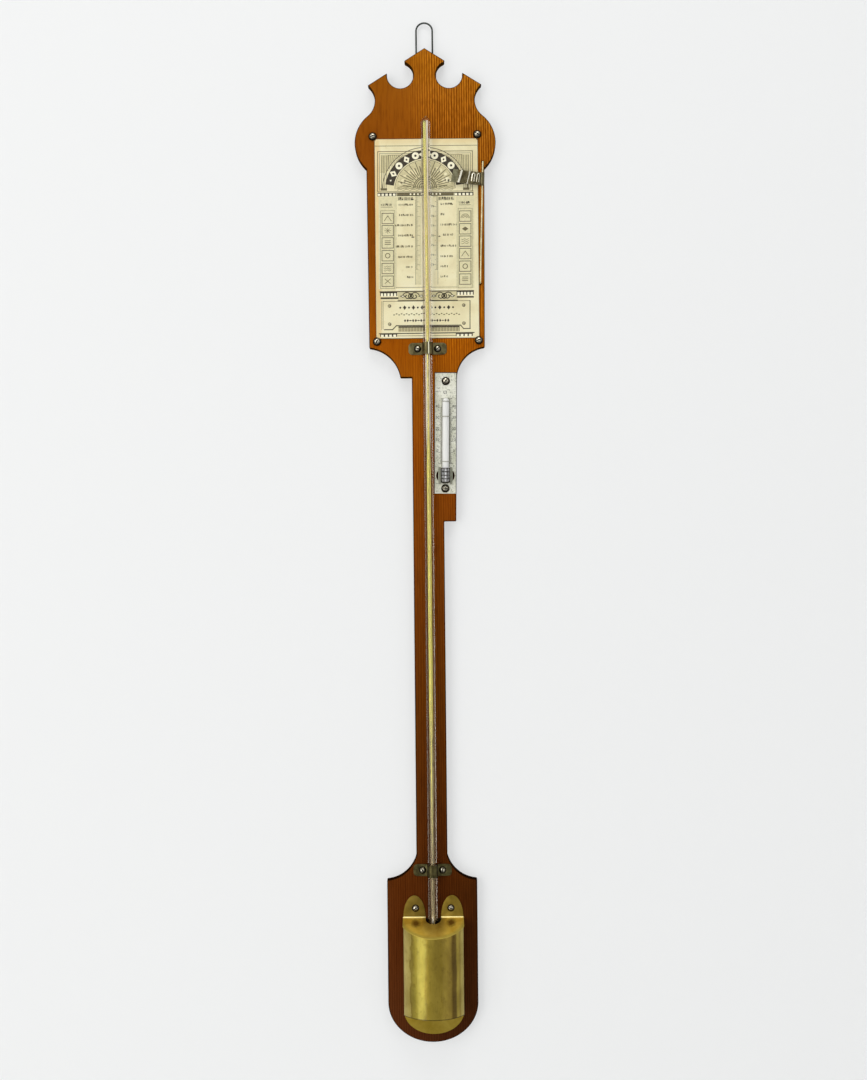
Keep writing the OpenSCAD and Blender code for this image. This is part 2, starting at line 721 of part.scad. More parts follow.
// Profile of the glass bulb, or of the liquid in it, as radius and height above the bulb's foot.
// It starts at height low and runs up into a stem of radius r_stem
function bulb_points(r_bulb, r_stem, low) = let (h = therm_bulb_h - 2 * low, round = r_bulb * 0.6)
    [[0, low],
     for (a = [-75:15:0]) [r_bulb - round + round * cos(a), low + round + round * sin(a)],
     for (a = [0:15:75]) [r_bulb - (r_bulb - r_stem) * (1 - cos(a)), low + h - round + round * sin(a)],
     [r_stem, low + h]];

module at_therm() {
    on_therm() translate([0, therm_y, therm_foot]) children();
}

module thermometer_tube() color([0.9, 0.92, 0.9, 0.6]) {
    r = therm_tube_d / 2;
    inner_top = therm_glass_h - therm_tube_d;
    at_therm() difference() {
        rotate_extrude() polygon(concat(bulb_points(therm_bulb_d / 2, r, 0),
            [for (a = [0:15:90]) [r * cos(a), therm_glass_h - r + r * sin(a)]]));
        rotate_extrude() polygon(concat(
            bulb_points(therm_bulb_d / 2 - therm_wall, therm_bore_d / 2, therm_wall),
            [[therm_bore_d / 2, inner_top], [0, inner_top]]));
    }
}

module thermometer_liquid() color([0.7, 0.7, 0.72]) {
    r = therm_bore_d / 2 - liquid_gap;
    at_therm() rotate_extrude() polygon(concat(
        bulb_points(therm_bulb_d / 2 - therm_wall - liquid_gap, r, therm_wall + liquid_gap),
        [[r, therm_reading_h], [0, therm_reading_h]]));
}

module thermometer_staples() color([0.55, 0.55, 0.5]) {
    leg = face_y - therm_y - therm_t / 4;
    on_therm() for (d = staple_drops) translate([0, therm_y, -d]) {
        rotate([0, 0, 180]) rotate_extrude(angle = 180)
            translate([staple_r, 0]) circle(d = staple_wire_d);
        for (s = [-1, 1]) along_y(s * staple_r, leg, 0, staple_wire_d, leg);
    }
}

// Guard over the bulb: a grille of square holes on two walls, with a flange beside each wall
grille_t = 0.5;
grille_h = 15.4;
grille_cols = 3;
grille_rows = 4;
flange_w = 2;
flange_h = 17.6;
guard_gap = 0.3;
guard_y = therm_y - therm_bulb_d / 2 - guard_gap;

module bulb_guard() color([0.55, 0.56, 0.5]) on_therm() translate([0, 0, -window_drop]) {
    hole_w = (grille_w - grille_bar * (grille_cols + 1)) / grille_cols;
    hole_h = (grille_h - grille_bar * (grille_rows + 1)) / grille_rows;
    difference() {
        translate([-grille_w / 2, guard_y - grille_t, -grille_h / 2])
            cube([grille_w, therm_face_y - guard_y + grille_t, grille_h]);
        translate([-grille_w / 2 + grille_t, guard_y, -grille_h / 2 - past])
            cube([grille_w - 2 * grille_t, therm_face_y - guard_y + past, grille_h + 2 * past]);
        for (c = [0:grille_cols - 1], r = [0:grille_rows - 1])
            translate([-grille_w / 2 + grille_bar + c * (hole_w + grille_bar), guard_y - grille_t - past,
                -grille_h / 2 + grille_bar + r * (hole_h + grille_bar)])
                cube([hole_w, grille_t + 2 * past, hole_h]);
    }
    for (x = [-grille_w / 2 - flange_w, grille_w / 2 - grille_t])
        translate([x, therm_face_y - grille_t, -flange_h / 2])
            cube([flange_w + grille_t, grille_t, flange_h]);
}

module thermometer_screws() color([0.45, 0.42, 0.3]) on_therm()
    for (i = [0:1]) round_screw(therm_screw(i), therm_t, therm_head_d, turns[i + 10]);

// Index rod: a wire whose two ends turn into the board
module index_rod() color([0.6, 0.55, 0.35]) on_rod() {
    leg = rod_stand - rod_bend_r + rod_grip - shank_end_gap;
    translate([0, 0, -rod_len + rod_bend_r]) cylinder(h = rod_len - 2 * rod_bend_r, d = rod_d);
    for (end = [[-rod_bend_r, 180, rod_bend_r], [-rod_len + rod_bend_r, 270, -rod_bend_r]])
        translate([0, rod_bend_r, end[0]]) {
            rotate([0, 90, 0]) rotate([0, 0, end[1]]) rotate_extrude(angle = 90)
                translate([rod_bend_r, 0]) circle(d = rod_d);
            along_y(0, leg, end[2], rod_d, leg);
        }
}

sleeve_d = 3;
eye_t = 0.5;
module index_sleeve() color([0.5, 0.45, 0.25]) on_rod()
    translate([0, 0, -index_drop - index_h / 2]) difference() {
        cylinder(h = index_h, d = sleeve_d);
        translate([0, 0, -past]) cylinder(h = index_h + 2 * past, d = rod_d + 2 * running_gap);
    }

// Leaf with two rolled ribs, on an eye that turns round the sleeve
rib_places = [4.6, 9.8];
rib_r = 1.9;
eye_r = sleeve_d / 2 + running_gap;
leaf_start = eye_r + eye_t / 2;
module leaf_section() {
    translate([-index_reach, -index_t / 2]) square([index_reach - leaf_start, index_t]);
    for (x = rib_places) translate([-x, 0]) difference() {
        circle(r = rib_r);
        circle(r = rib_r - index_t);
        translate([-rib_r - past, 0]) square(2 * rib_r + 2 * past);
    }
}

module index_pointer() color([0.42, 0.38, 0.2]) on_rod() translate([0, 0, -index_drop])
    difference() {
        union() {
            translate([0, 0, -index_h / 2]) cylinder(h = index_h, r = eye_r + eye_t);
            translate([-leaf_start, 0, 0]) rotate([0, index_tilt, 0])
                translate([leaf_start, 0, -index_h / 2]) linear_extrude(index_h) leaf_section();
        }
        translate([0, 0, -index_h]) cylinder(h = 2 * index_h, r = eye_r);
    }

// Hanger on the back: a plate in the recess with a rolled knuckle, and the wire loop in it
module hanger_bracket() color([0.35, 0.35, 0.35]) {
    difference() {
        union() {
            translate([-knuckle_w / 2, -hinge_depth, hinge_z]) rotate([0, 90, 0])
                cylinder(h = knuckle_w, r = knuckle_r);
            translate([-knuckle_w / 2, -recess_d, hinge_z - bracket_h])
                cube([knuckle_w, bracket_t, bracket_h]);
        }
        translate([-knuckle_w, -hinge_depth, hinge_z]) rotate([0, 90, 0])
            cylinder(h = 2 * knuckle_w, r = wire_r + running_gap);
        for (i = [-1, 1]) along_y(i * hanger_screw_x, -recess_d + bracket_t + past, hanger_screw_z,
            hanger_shank_d + 2 * shank_gap, bracket_t + 2 * past);
    }
}

module hanger_screws() color([0.4, 0.4, 0.4]) {
    shank = bracket_t + hanger_grip - shank_end_gap;
    for (i = [-1, 1])
        translate([i * hanger_screw_x, -recess_d + bracket_t, hanger_screw_z]) rotate([-90, 0, 0]) {
            difference() {
                cylinder(h = hanger_head_h, d = hanger_head_d);
                translate([-hanger_head_d, -slot_w / 2, hanger_head_h / 2])
                    cube([2 * hanger_head_d, slot_w, hanger_head_h]);
            }
            translate([0, 0, -shank]) cylinder(h = shank, d = hanger_shank_d);
        }
}

module hanging_loop() color([0.25, 0.26, 0.25]) translate([0, -hinge_depth, 0]) {
    top_z = wire_r - loop_w / 2;
    elbow_z = hinge_z + loop_elbow_r;
    translate([0, 0, top_z]) rotate([90, 0, 0]) rotate_extrude(angle = 180)
        translate([loop_w / 2, 0]) circle(r = wire_r);
    for (s = [0, 1]) mirror([s, 0, 0]) {
        translate([loop_w / 2, 0, elbow_z]) cylinder(h = top_z - elbow_z, r = wire_r);
        translate([loop_w / 2 - loop_elbow_r, 0, elbow_z]) rotate([90, 0, 0]) rotate([0, 0, 270])
            rotate_extrude(angle = 90) translate([loop_elbow_r, 0]) circle(r = wire_r);
        translate([knuckle_w / 2 - loop_pin_in, 0, hinge_z]) rotate([0, 90, 0])
            cylinder(h = loop_w / 2 - loop_elbow_r - knuckle_w / 2 + loop_pin_in, r = wire_r);
    }
}

backboard();
scale_card();
scale_paper();
scale_screws();
barometer_tube();
tube_enamel_stripe();
mercury_pool();
mercury_column();
mercury_meniscus();
bulb_stopper();
bulb_cushion();
tube_pads();
upper_tube_clip();
lower_tube_clip();
clip_screws();
cistern_backplate();
cistern_shell();
cistern_roof();
cistern_floor();
cistern_screws();
thermometer_plate();
thermometer_tube();
thermometer_liquid();
thermometer_staples();
bulb_guard();
thermometer_screws();
index_rod();
index_sleeve();
index_pointer();
hanger_bracket();
hanger_screws();
hanging_loop();
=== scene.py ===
import json
import random
from math import asin, atan2, cos, hypot, pi, radians, sin, sqrt, tan

import bmesh
import bpy
from mathutils import Matrix, Vector, noise


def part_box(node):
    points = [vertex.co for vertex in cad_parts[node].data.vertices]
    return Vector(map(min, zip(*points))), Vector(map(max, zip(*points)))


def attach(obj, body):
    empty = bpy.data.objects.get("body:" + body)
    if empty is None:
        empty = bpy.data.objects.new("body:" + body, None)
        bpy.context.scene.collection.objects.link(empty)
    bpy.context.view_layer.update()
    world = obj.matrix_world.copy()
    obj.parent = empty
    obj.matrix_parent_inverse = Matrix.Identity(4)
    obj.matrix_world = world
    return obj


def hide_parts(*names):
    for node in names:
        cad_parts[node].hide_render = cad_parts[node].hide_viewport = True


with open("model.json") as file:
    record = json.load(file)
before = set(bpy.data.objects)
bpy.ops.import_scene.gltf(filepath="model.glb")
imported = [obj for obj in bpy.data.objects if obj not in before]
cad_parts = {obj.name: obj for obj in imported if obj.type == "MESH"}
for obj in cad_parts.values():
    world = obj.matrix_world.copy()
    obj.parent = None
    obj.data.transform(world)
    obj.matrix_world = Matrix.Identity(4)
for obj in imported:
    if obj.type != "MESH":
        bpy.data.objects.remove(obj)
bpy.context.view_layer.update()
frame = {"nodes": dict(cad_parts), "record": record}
scene = bpy.context.scene

MM = 0.001

# Places and sizes of the part, in millimetres
FACE_Y = -10.0
PAPER_Y = -10.8
PLATE_Y = -11.0
TUBE = (0.5, -15.55)
TUBE_R = 4.65
BORE_R = 0.5
TIP_Z = -98.9
BEND_Z = -1000.0
COVER_X = 0.8
COVER_HALF = 30.9
COVER_RADIUS = 35.33
COVER_CENTRE_Y = -6.17
COVER_SHEET = 0.8
FOLD_Z = -922.9
FLOOR_Z = -1020.0
THERM_TOP = (19.0, -362.1)
THERM_LEAN = radians(0.75)
WINDOW_DROP = 106.3
ROD_TOP = Vector((59.1, -14.2, -145.2))
ROD_LEAN = atan2(3.7, 125.7)


def srgb(r, g, b):
    """Linear colour of an 8 bit screen colour."""
    def linear(v):
        v /= 255
        return v / 12.92 if v <= 0.04045 else ((v + 0.055) / 1.055) ** 2.4
    return (linear(r), linear(g), linear(b), 1.0)


def on_therm(x, z):
    """A place in the thermometer's frame as a place on the part, across and up, in millimetres."""
    c, s = cos(THERM_LEAN), sin(THERM_LEAN)
    return (THERM_TOP[0] + x * c + z * s, THERM_TOP[1] + z * c - x * s)


# Materials

class Nodes:
    """The nodes of one tree, with places taken from one kind of coordinates."""

    def __init__(self, tree, coords):
        self.tree = tree
        self.coords = self.node("TexCoord").outputs[coords]

    def node(self, kind, inputs=None, **settings):
        """A new node, with values or links for some of its inputs."""
        made = self.tree.nodes.new("ShaderNode" + kind)
        for key, value in settings.items():
            setattr(made, key, value)
        for key, value in (inputs or {}).items():
            self.put(made.inputs[key], value)
        return made

    def put(self, socket, value):
        if isinstance(value, bpy.types.NodeSocket):
            self.tree.links.new(value, socket)
        else:
            socket.default_value = value

    def stretch(self, scale):
        return self.node("Mapping", {"Vector": self.coords, "Scale": scale}).outputs[0]

    def noise(self, scale, detail=2.0, roughness=0.5, upright=1, distortion=0.0):
        """Noise whose grains are longer in height where upright is under 1."""
        return self.node("TexNoise", {
            "Vector": self.stretch((1, 1, upright)), "Scale": scale, "Detail": detail,
            "Roughness": roughness, "Distortion": distortion}).outputs["Fac"]

    def cloud(self, scale, distortion=0.3):
        return self.noise(scale, 4, 0.6, 1, distortion)

    def bands(self, period, distortion, upright):
        """Upright stripes with a saw's profile, one in each period, in metres."""
        return self.node("TexWave", {
            "Vector": self.stretch((1, 1, upright)), "Scale": 2 * pi / (20 * period),
            "Distortion": distortion, "Detail": 2.0, "Detail Scale": 0.4},
            wave_type="BANDS", bands_direction="X", wave_profile="SAW").outputs["Fac"]

    def axis(self, name, start, end, unit=MM):
        """0 at start and 1 at end along an axis, in millimetres."""
        value = self.node("SeparateXYZ", {0: self.coords}).outputs[name]
        ends = {"From Min": start * unit, "From Max": end * unit}
        return self.node("MapRange", {"Value": value, **ends}).outputs[0]

    def far(self, scale, place):
        """Distance in metres from a place in millimetres, with the axes scaled."""
        ends = {0: self.stretch(scale), 1: [a * b * MM for a, b in zip(scale, place)]}
        return self.node("VectorMath", ends, operation="DISTANCE").outputs["Value"]

    def ramp(self, value, *stops):
        """Stops are a position and a tone: a grey, a screen colour of three or a linear colour of four."""
        made = self.node("ValToRGB", {0: value})
        spots = made.color_ramp.elements
        while len(spots) < len(stops):
            spots.new(0.5)
        for spot, (at, tone) in zip(spots, stops):
            spot.position = at
            if not isinstance(tone, tuple):
                tone = (tone, tone, tone, 1)
            spot.color = srgb(*tone) if len(tone) == 3 else tone
        return made.outputs["Color"]

    def mix(self, factor, a, b, kind="MIX"):
        return self.node("Mix", {0: factor, 6: a, 7: b}, data_type="RGBA", blend_type=kind).outputs[2]

    def times(self, a, b, factor=1.0):
        return self.mix(factor, a, b, "MULTIPLY")

    def math(self, kind, a, b):
        return self.node("Math", {0: a, 1: b}, operation=kind).outputs[0]

    def seen(self):
        """1 for rays from the camera, also mirrored or through glass; 0 for the light on matt surfaces."""
        ray = self.node("LightPath").outputs
        direct = self.math("MAXIMUM", ray["Is Camera Ray"], ray["Is Glossy Ray"])
        return self.math("MAXIMUM", direct, ray["Is Transmission Ray"])


class Paint(Nodes):
    """A procedural material in the object's own coordinates."""

    def __init__(self, name, color=(0.5, 0.5, 0.5, 1), **sockets):
        self.material = bpy.data.materials.new(name)
        self.material.use_nodes = True
        super().__init__(self.material.node_tree, "Object")
        self.shader = self.tree.nodes["Principled BSDF"]
        self.color(color)
        for key, value in sockets.items():
            self.put(self.shader.inputs[key.replace("_", " ")], value)

    def color(self, value):
        self.put(self.shader.inputs["Base Color"], value)

    def roughness(self, value):
        self.put(self.shader.inputs["Roughness"], value)

    def bump(self, height, strength, distance):
        made = self.node("Bump", {"Strength": strength, "Distance": distance, "Height": height})
        self.put(self.shader.inputs["Normal"], made.outputs[0])


def wood_paint(name, shade=1.0, gloss=0.05):
    """Varnished wood: smooth on the left, with open rings on the crown and the head's right side."""
    p = Paint(name, Specular_IOR_Level=gloss, Specular_Tint=(1.0, 0.6, 0.25, 1))
    tones = ((0.0, (76, 37, 16)), (0.11, (79, 36, 9)), (0.22, (82, 38, 6)), (0.344, (94, 47, 6)),
             (0.485, (113, 56, 10)), (0.6, (136, 68, 9)), (0.66, (150, 82, 11)), (0.7, (158, 83, 7)),
             (0.78, (136, 72, 10)), (0.9, (136, 72, 11)), (1.0, (152, 88, 13)))
    base = p.ramp(p.axis("Z", -1050, -30), *[(at, tuple(c * shade for c in tone)) for at, tone in tones])
    ringed = p.ramp(p.math("MULTIPLY", p.axis("X", -20, 8), p.axis("Z", -360, -310)),
                    (0.0, 0.0), (1.0, 1.0))
    # Broad figure, and the short dark dashes of the smooth side
    figure = p.noise(30, 3, 0.55, 0.1)
    base = p.times(base, p.ramp(figure, (0.3, (0.72, 0.64, 0.56, 1)), (0.72, (1.2, 1.2, 1.1, 1))), 0.6)
    dashes = p.ramp(p.noise(520, 3, 0.6, 0.09), (0.34, (0.62, 0.52, 0.4, 1)),
                    (0.5, (1.02, 1.02, 1, 1)), (0.72, (1.14, 1.16, 1.1, 1)))
    base = p.times(base, dashes, 0.4)
    # Rings: pale early wood, broken along its length, between dark lines
    rings = p.bands(0.0025, 4.2, 0.07)
    ring_tone = p.ramp(rings, (0.0, (0.6, 0.52, 0.36, 1)), (0.16, (0.76, 0.7, 0.56, 1)),
                       (0.36, (1.2, 1.26, 1.3, 1)), (0.64, (1.85, 2.2, 3.0, 1)),
                       (0.86, (1.25, 1.3, 1.2, 1)), (1.0, (0.62, 0.54, 0.38, 1)))
    flecks = p.ramp(p.noise(620, 2, 0.6, 0.22), (0.38, (0.8, 0.76, 0.7, 1)), (0.62, (1.12, 1.14, 1.2, 1)))
    base = p.mix(ringed, base, p.times(p.times(base, ring_tone), flecks))
    # Below the head the same rings are nearly filled with stain
    base = p.times(base, ring_tone, p.math("MULTIPLY", p.axis("Z", -330, -370), 0.3))
    pores = p.noise(1300, 2, 0.6, 0.03)
    base = p.times(base, p.ramp(pores, (0.3, (0.5, 0.4, 0.3, 1)), (0.44, 1.0)), 0.45)
    golden = p.math("MULTIPLY", p.axis("X", 50, 54), p.axis("Z", -335, -310))
    base = p.times(base, (1.16, 1.3, 1.4, 1), golden)
    # The right side of the base is darker, and the back is bare and dull
    right = p.math("MULTIPLY", p.axis("X", -30, 50), p.axis("Z", -830, -900))
    base = p.times(base, (0.56, 0.6, 0.62, 1), right)
    back = p.axis("Y", -1.2, -0.4)
    p.color(p.mix(back, base, p.mix(0.5, base, srgb(150, 112, 76))))
    p.roughness(p.ramp(p.math("ADD", back, p.math("MULTIPLY", figure, 0.2)), (0.0, 0.34), (1.0, 0.75)))
    p.bump(p.math("ADD", pores, p.math("MULTIPLY", rings, 0.3)), 0.25, 0.0002)
    return p


def paper_paint():
    """Yellowed paper, browner along its left and upper edges, with painted light in a pale strip beside the
    tube.
    """
    p = Paint("paper", Roughness=0.8, Specular_IOR_Level=0.2)
    cloud = p.cloud(28, 0.4)
    base = p.ramp(cloud, (0.3, (220, 208, 164)), (0.52, (233, 224, 183)), (0.75, (238, 232, 197)))
    edge = p.math("MAXIMUM", p.axis("X", -45.5, -48.5),
                  p.math("MULTIPLY", p.axis("Z", -128.5, -122), 0.8))
    base = p.mix(edge, base, p.ramp(cloud, (0.3, (220, 194, 138)), (0.7, (233, 212, 160))))
    base = p.times(base, p.ramp(p.noise(240), (0.66, 1.0), (0.8, (0.86, 0.78, 0.62, 1))), 0.6)
    # Painted light: a paler strip along the tube, lifting the shadow the tube casts on the paper
    painted_light_beside_tube = p.far((1, 0, 0), (TUBE[0], 0, 0))
    base = p.mix(p.ramp(painted_light_beside_tube, (0.0046, 1.0), (0.007, 0.0)), base, srgb(249, 243, 212))
    p.color(p.times(base, p.ramp(p.noise(1400, 1), (0.3, 0.9), (0.6, 1.0)), 0.5))
    p.bump(p.noise(900), 0.1, 0.0001)
    return p


def metal_paint(name, dark, light, roughness):
    """Aged metal, blotched between two tones."""
    p = Paint(name, Metallic=1.0)
    cloud, fine = p.cloud(60), p.noise(840, 2, 0.6)
    tone = p.ramp(cloud, (0.32, dark), (0.68, light))
    p.color(p.times(tone, p.ramp(fine, (0.3, 0.75), (0.6, 1.0)), 0.35))
    p.roughness(p.ramp(cloud, (0.2, roughness + 0.12), (0.8, roughness)))
    p.bump(fine, 0.1, 0.0001)
    return p


def glass_paint():
    """Clear old glass, browner towards the foot."""
    p = Paint("glass", Roughness=0.08, IOR=1.4, Transmission_Weight=1.0, Specular_IOR_Level=0.22,
              Specular_Tint=(1.0, 0.66, 0.36, 1))
    p.color(p.ramp(p.axis("Z", -480, -400), (0.0, (0.95, 0.91, 0.82, 1)), (1.0, (0.98, 0.96, 0.93, 1))))
    return p


def mercury_paint():
    """Bright in the cistern; the long thread is painted with the enamel's yellow, as a painted reflection of
    the enamel and the tint of the old glass over it, and is duller towards the foot.
    """
    p = Paint("mercury", Metallic=1.0, Roughness=0.25)
    patch = p.noise(300, 3, 0.6, 0.3)
    # Painted reflection: the thread's yellow stands for the enamel it mirrors
    thread = p.mix(p.axis("Z", -800, -860), p.ramp(patch, (0.3, (190, 180, 88)), (0.7, (228, 220, 120))),
                   p.ramp(patch, (0.3, (118, 108, 80)), (0.7, (160, 148, 112))))
    p.color(p.mix(p.axis("Z", FOLD_Z, FOLD_Z + 6), (0.78, 0.78, 0.78, 1), thread))
    return p


def enamel_paint():
    """Greenish yellow enamel, pinkish white on one stretch, dull and specked towards the foot."""
    p = Paint("enamel", Roughness=0.35)
    height = p.axis("Z", -980, -100)
    tone = p.ramp(height, (0.0, (158, 144, 112)), (0.12, (158, 148, 114)), (0.27, (196, 186, 128)),
                  (0.31, (244, 236, 104)), (0.61, (244, 236, 120)), (0.65, (232, 226, 196)),
                  (0.72, (232, 226, 192)), (0.75, (230, 214, 120)), (0.9, (226, 212, 118)),
                  (0.992, (220, 218, 112)), (0.995, (50, 42, 22)))
    speck = p.ramp(p.noise(420, 3, 0.7, 0.3), (0.36, (0.4, 0.36, 0.28, 1)), (0.48, 1.0))
    tone = p.times(tone, speck, p.ramp(p.axis("Z", -680, -780), (0.0, 0.15), (1.0, 0.9)))
    # Beside the coloured line the enamel is painted pinkish white over the head, as a painted reflection of
    # the glass's edges, and dark below it, as painted shade
    across = p.math("ADD", p.axis("X", TUBE[0] - 1.5, TUBE[0] + 1.5),
                    p.math("MULTIPLY", p.axis("Z", -240, -120), 0.2))
    # Where this is under 1, the coloured line is wider
    narrowing = p.ramp(height, (0.2, 0.88), (0.25, 0.78), (0.59, 0.78), (0.625, 1.0), (0.7, 1.0),
                       (0.74, 0.86))
    across = p.math("ADD", p.math("MULTIPLY", p.math("SUBTRACT", across, 0.5), narrowing), 0.5)
    edge = p.ramp(across, (0.0, 1.0), (0.16, 1.0), (0.22, 0.0), (0.8, 0.0), (0.87, 1.0), (1.0, 1.0))
    # Painted reflection above and painted shade below, at the coloured line's edges
    beside = p.ramp(p.axis("Z", -445, -415), (0.0, (72, 50, 14)), (1.0, (232, 222, 206)))
    shaded = p.ramp(across, (0.64, 1.0), (0.76, (0.86, 0.78, 0.56, 1)))
    p.color(p.mix(edge, p.times(tone, shaded), beside))
    return p


def roof_paint():
    """Gold brass with two tarnish marks and a painted highlight along the crease; dull olive on the screw
    ears above it, the right ear painted lighter.
    """
    p = Paint("roof_brass", Metallic=1.0)
    cloud = p.cloud(85)
    tone = p.ramp(cloud, (0.32, (194, 156, 52)), (0.68, (220, 190, 84)))
    for x, y in ((-18.0, -19.75), (18.4, -18.5)):
        mark = p.far((1, 0.8, 0), (COVER_X + x, y, 0))
        mark = p.math("ADD", mark, p.math("MULTIPLY", p.noise(420, 3, 0.6), 0.004))
        tone = p.mix(p.ramp(mark, (0.0044, 0.9), (0.0062, 0.0)), tone, srgb(104, 66, 14))
    middle = p.ramp(p.axis("X", COVER_X - 30, COVER_X + 30),
                    (0.3, (1.08, 1.06, 0.96, 1)), (0.45, (0.79, 0.75, 0.77, 1)),
                    (0.6, (0.79, 0.75, 0.8, 1)), (0.75, (1.04, 1.02, 0.92, 1)))
    tone = p.times(tone, middle)
    rim = p.ramp(p.far((1, 1, 0), (COVER_X, COVER_CENTRE_Y, 0)), (0.0349, 0.0), (0.0352, 1.0))
    tone = p.mix(rim, tone, srgb(164, 146, 66))
    ear = p.axis("Z", FOLD_Z, FOLD_Z + 0.5)
    olive = p.ramp(cloud, (0.32, (96, 78, 26)), (0.68, (124, 102, 42)))
    # Painted light: the right ear is lighter, offsetting the shade it gets
    tone = p.mix(ear, tone, p.times(olive, (1.26, 1.28, 1.2, 1), p.axis("X", -2, 4)))
    # A painted highlight along the crease at the fold
    crease = p.math("MULTIPLY", p.axis("Z", FOLD_Z - 1.1, FOLD_Z - 0.5),
                    p.axis("Z", FOLD_Z + 0.7, FOLD_Z + 0.3))
    p.color(p.mix(crease, tone, srgb(246, 230, 160)))
    p.roughness(p.ramp(ear, (0.0, 0.5), (1.0, 0.45)))
    p.bump(p.noise(900), 0.08, 0.0001)
    return p


def cover_paint():
    """Satin brass with upright bands of painted reflection: pale bands at both edges, a bright highlight
    band and a dark streak.
    """
    p = Paint("cover_brass", Metallic=1.0, Coat_Weight=0.25, Coat_Roughness=0.12, Coat_IOR=1.5)
    cloud = p.noise(42, 4, 0.6, 0.7, 0.4)
    tone = p.ramp(cloud, (0.3, (130, 110, 34)), (0.7, (162, 141, 56)))
    across = p.axis("X", COVER_X - COVER_HALF, COVER_X + COVER_HALF)
    # Painted reflections in upright bands, whose edges waver
    wander = p.math("MULTIPLY", p.math("SUBTRACT", p.noise(75, 3, 0.6, 0.6), 0.5),
                    p.ramp(across, (0.4, 0.16), (0.6, 0.04)))
    painted_reflection_stripes = p.ramp(
        p.math("ADD", across, wander),
        (0.0, (1.46, 1.58, 3.0, 1)), (0.115, (1.3, 1.38, 2.3, 1)), (0.132, (0.76, 0.76, 0.7, 1)),
        (0.17, (0.94, 1.0, 0.95, 1)), (0.24, (0.86, 0.97, 1.05, 1)), (0.35, (0.86, 0.97, 1.1, 1)),
        (0.38, (0.74, 0.76, 0.66, 1)), (0.46, (0.92, 0.92, 0.82, 1)), (0.6, (0.82, 0.8, 0.68, 1)),
        (0.7, (0.8, 0.78, 0.72, 1)), (0.785, (0.68, 0.63, 0.55, 1)), (0.81, (0.37, 0.31, 0.22, 1)),
        (0.862, (0.4, 0.34, 0.25, 1)), (0.884, (1.12, 1.14, 1.2, 1)), (0.915, (1.05, 1.05, 1.1, 1)),
        (0.93, (0.8, 0.78, 0.75, 1)), (0.955, (1.2, 1.3, 1.9, 1)), (1.0, (1.25, 1.35, 2.1, 1)))
    tone = p.times(tone, painted_reflection_stripes)
    lines = p.ramp(p.noise(1300, 1, 0.5, 0.05), (0.6, 1.0), (0.68, (0.74, 0.7, 0.55, 1)))
    dull = p.ramp(p.noise(170, 3, 0.6), (0.56, 1.0), (0.7, (0.74, 0.7, 0.56, 1)))
    tone = p.times(p.times(tone, lines, 0.4), dull, 0.7)
    foot = p.axis("Z", FLOOR_Z + 1.0, FLOOR_Z + 0.3)
    p.color(p.mix(foot, tone, srgb(58, 46, 16)))
    p.roughness(p.ramp(cloud, (0.25, 0.37), (0.75, 0.27)))
    p.bump(p.noise(130, 3, 0.5, 0.6), 0.3, 0.0006)
    return p


def back_paint():
    """The back plate, dull olive, and near black with painted shade where it shows inside the roof's notch.
    """
    p = Paint("back_brass", Metallic=1.0, Roughness=0.4)
    tone = p.ramp(p.cloud(60), (0.32, (132, 110, 34)), (0.68, (156, 134, 54)))
    # Painted shade inside the roof's notch
    notch = p.axis("Z", FOLD_Z - 12, FOLD_Z - 10)
    p.color(p.mix(notch, tone, srgb(24, 18, 8)))
    p.bump(p.noise(840, 2, 0.6), 0.1, 0.0001)
    return p


def clip_paint():
    """Dark olive clips: the upper one has a painted highlight along its saddle, and the lower one is darker.
    """
    p = Paint("clip_brass", Metallic=1.0, Roughness=0.36)
    tone = p.ramp(p.cloud(150), (0.32, (58, 51, 29)), (0.68, (112, 103, 70)))
    tone = p.times(tone, (0.62, 0.64, 0.58, 1), p.axis("Z", -600, -700))
    # A painted highlight: a bright line along the upper clip's saddle
    line = p.ramp(p.axis("X", TUBE[0] + 0.5, TUBE[0] + 1.7),
                  (0.0, 0.0), (0.2, 1.0), (0.8, 1.0), (1.0, 0.0))
    crest_highlight = p.math("MULTIPLY", line, p.axis("Y", -16.5, -17.5))
    p.color(p.mix(p.math("MULTIPLY", crest_highlight, p.axis("Z", -700, -600)), tone, srgb(240, 236, 206)))
    p.bump(p.noise(840, 2, 0.6), 0.1, 0.0001)
    return p


def screw_paint():
    """Polished domes with painted reflections, dark round their rims and a bright painted highlight in their
    middles, and darker on their lower halves as painted shade.
    """
    p = Paint("screw_brass", Metallic=1.0)
    normal = p.node("SeparateXYZ", {0: p.node("TexCoord").outputs["Normal"]}).outputs
    # Painted reflection by the dome's slope: dark at the rims, bright in the middles
    rim = p.math("ADD", normal["Y"], p.math("MULTIPLY", p.noise(500, 2, 0.6), 0.12))
    tone = p.ramp(p.math("MULTIPLY", rim, -1.0), (0.5, (34, 28, 20)), (0.76, (70, 62, 46)),
                  (0.86, (176, 170, 152)))
    # Painted light: upper halves lighter, lower halves darker
    p.color(p.times(tone, p.ramp(p.math("ADD", normal["Z"], 0.5), (0.36, 0.42), (0.6, 1.0))))
    p.roughness(p.ramp(p.noise(700, 2, 0.6), (0.3, 0.14), (0.7, 0.09)))
    return p


def plate_paint():
    """The thermometer's pale plate, clouded and flecked with grime."""
    p = Paint("scale_metal", Metallic=0.25, Roughness=0.4)
    cloud = p.noise(90, 4, 0.65, 0.6, 0.5)
    tone = p.ramp(cloud, (0.3, (188, 189, 166)), (0.5, (218, 218, 200)), (0.72, (239, 238, 226)))
    p.color(p.times(tone, p.ramp(p.noise(620, 3, 0.7), (0.36, 0.3), (0.46, 1.0)), 0.75))
    p.bump(p.noise(500), 0.08, 0.0001)
    return p


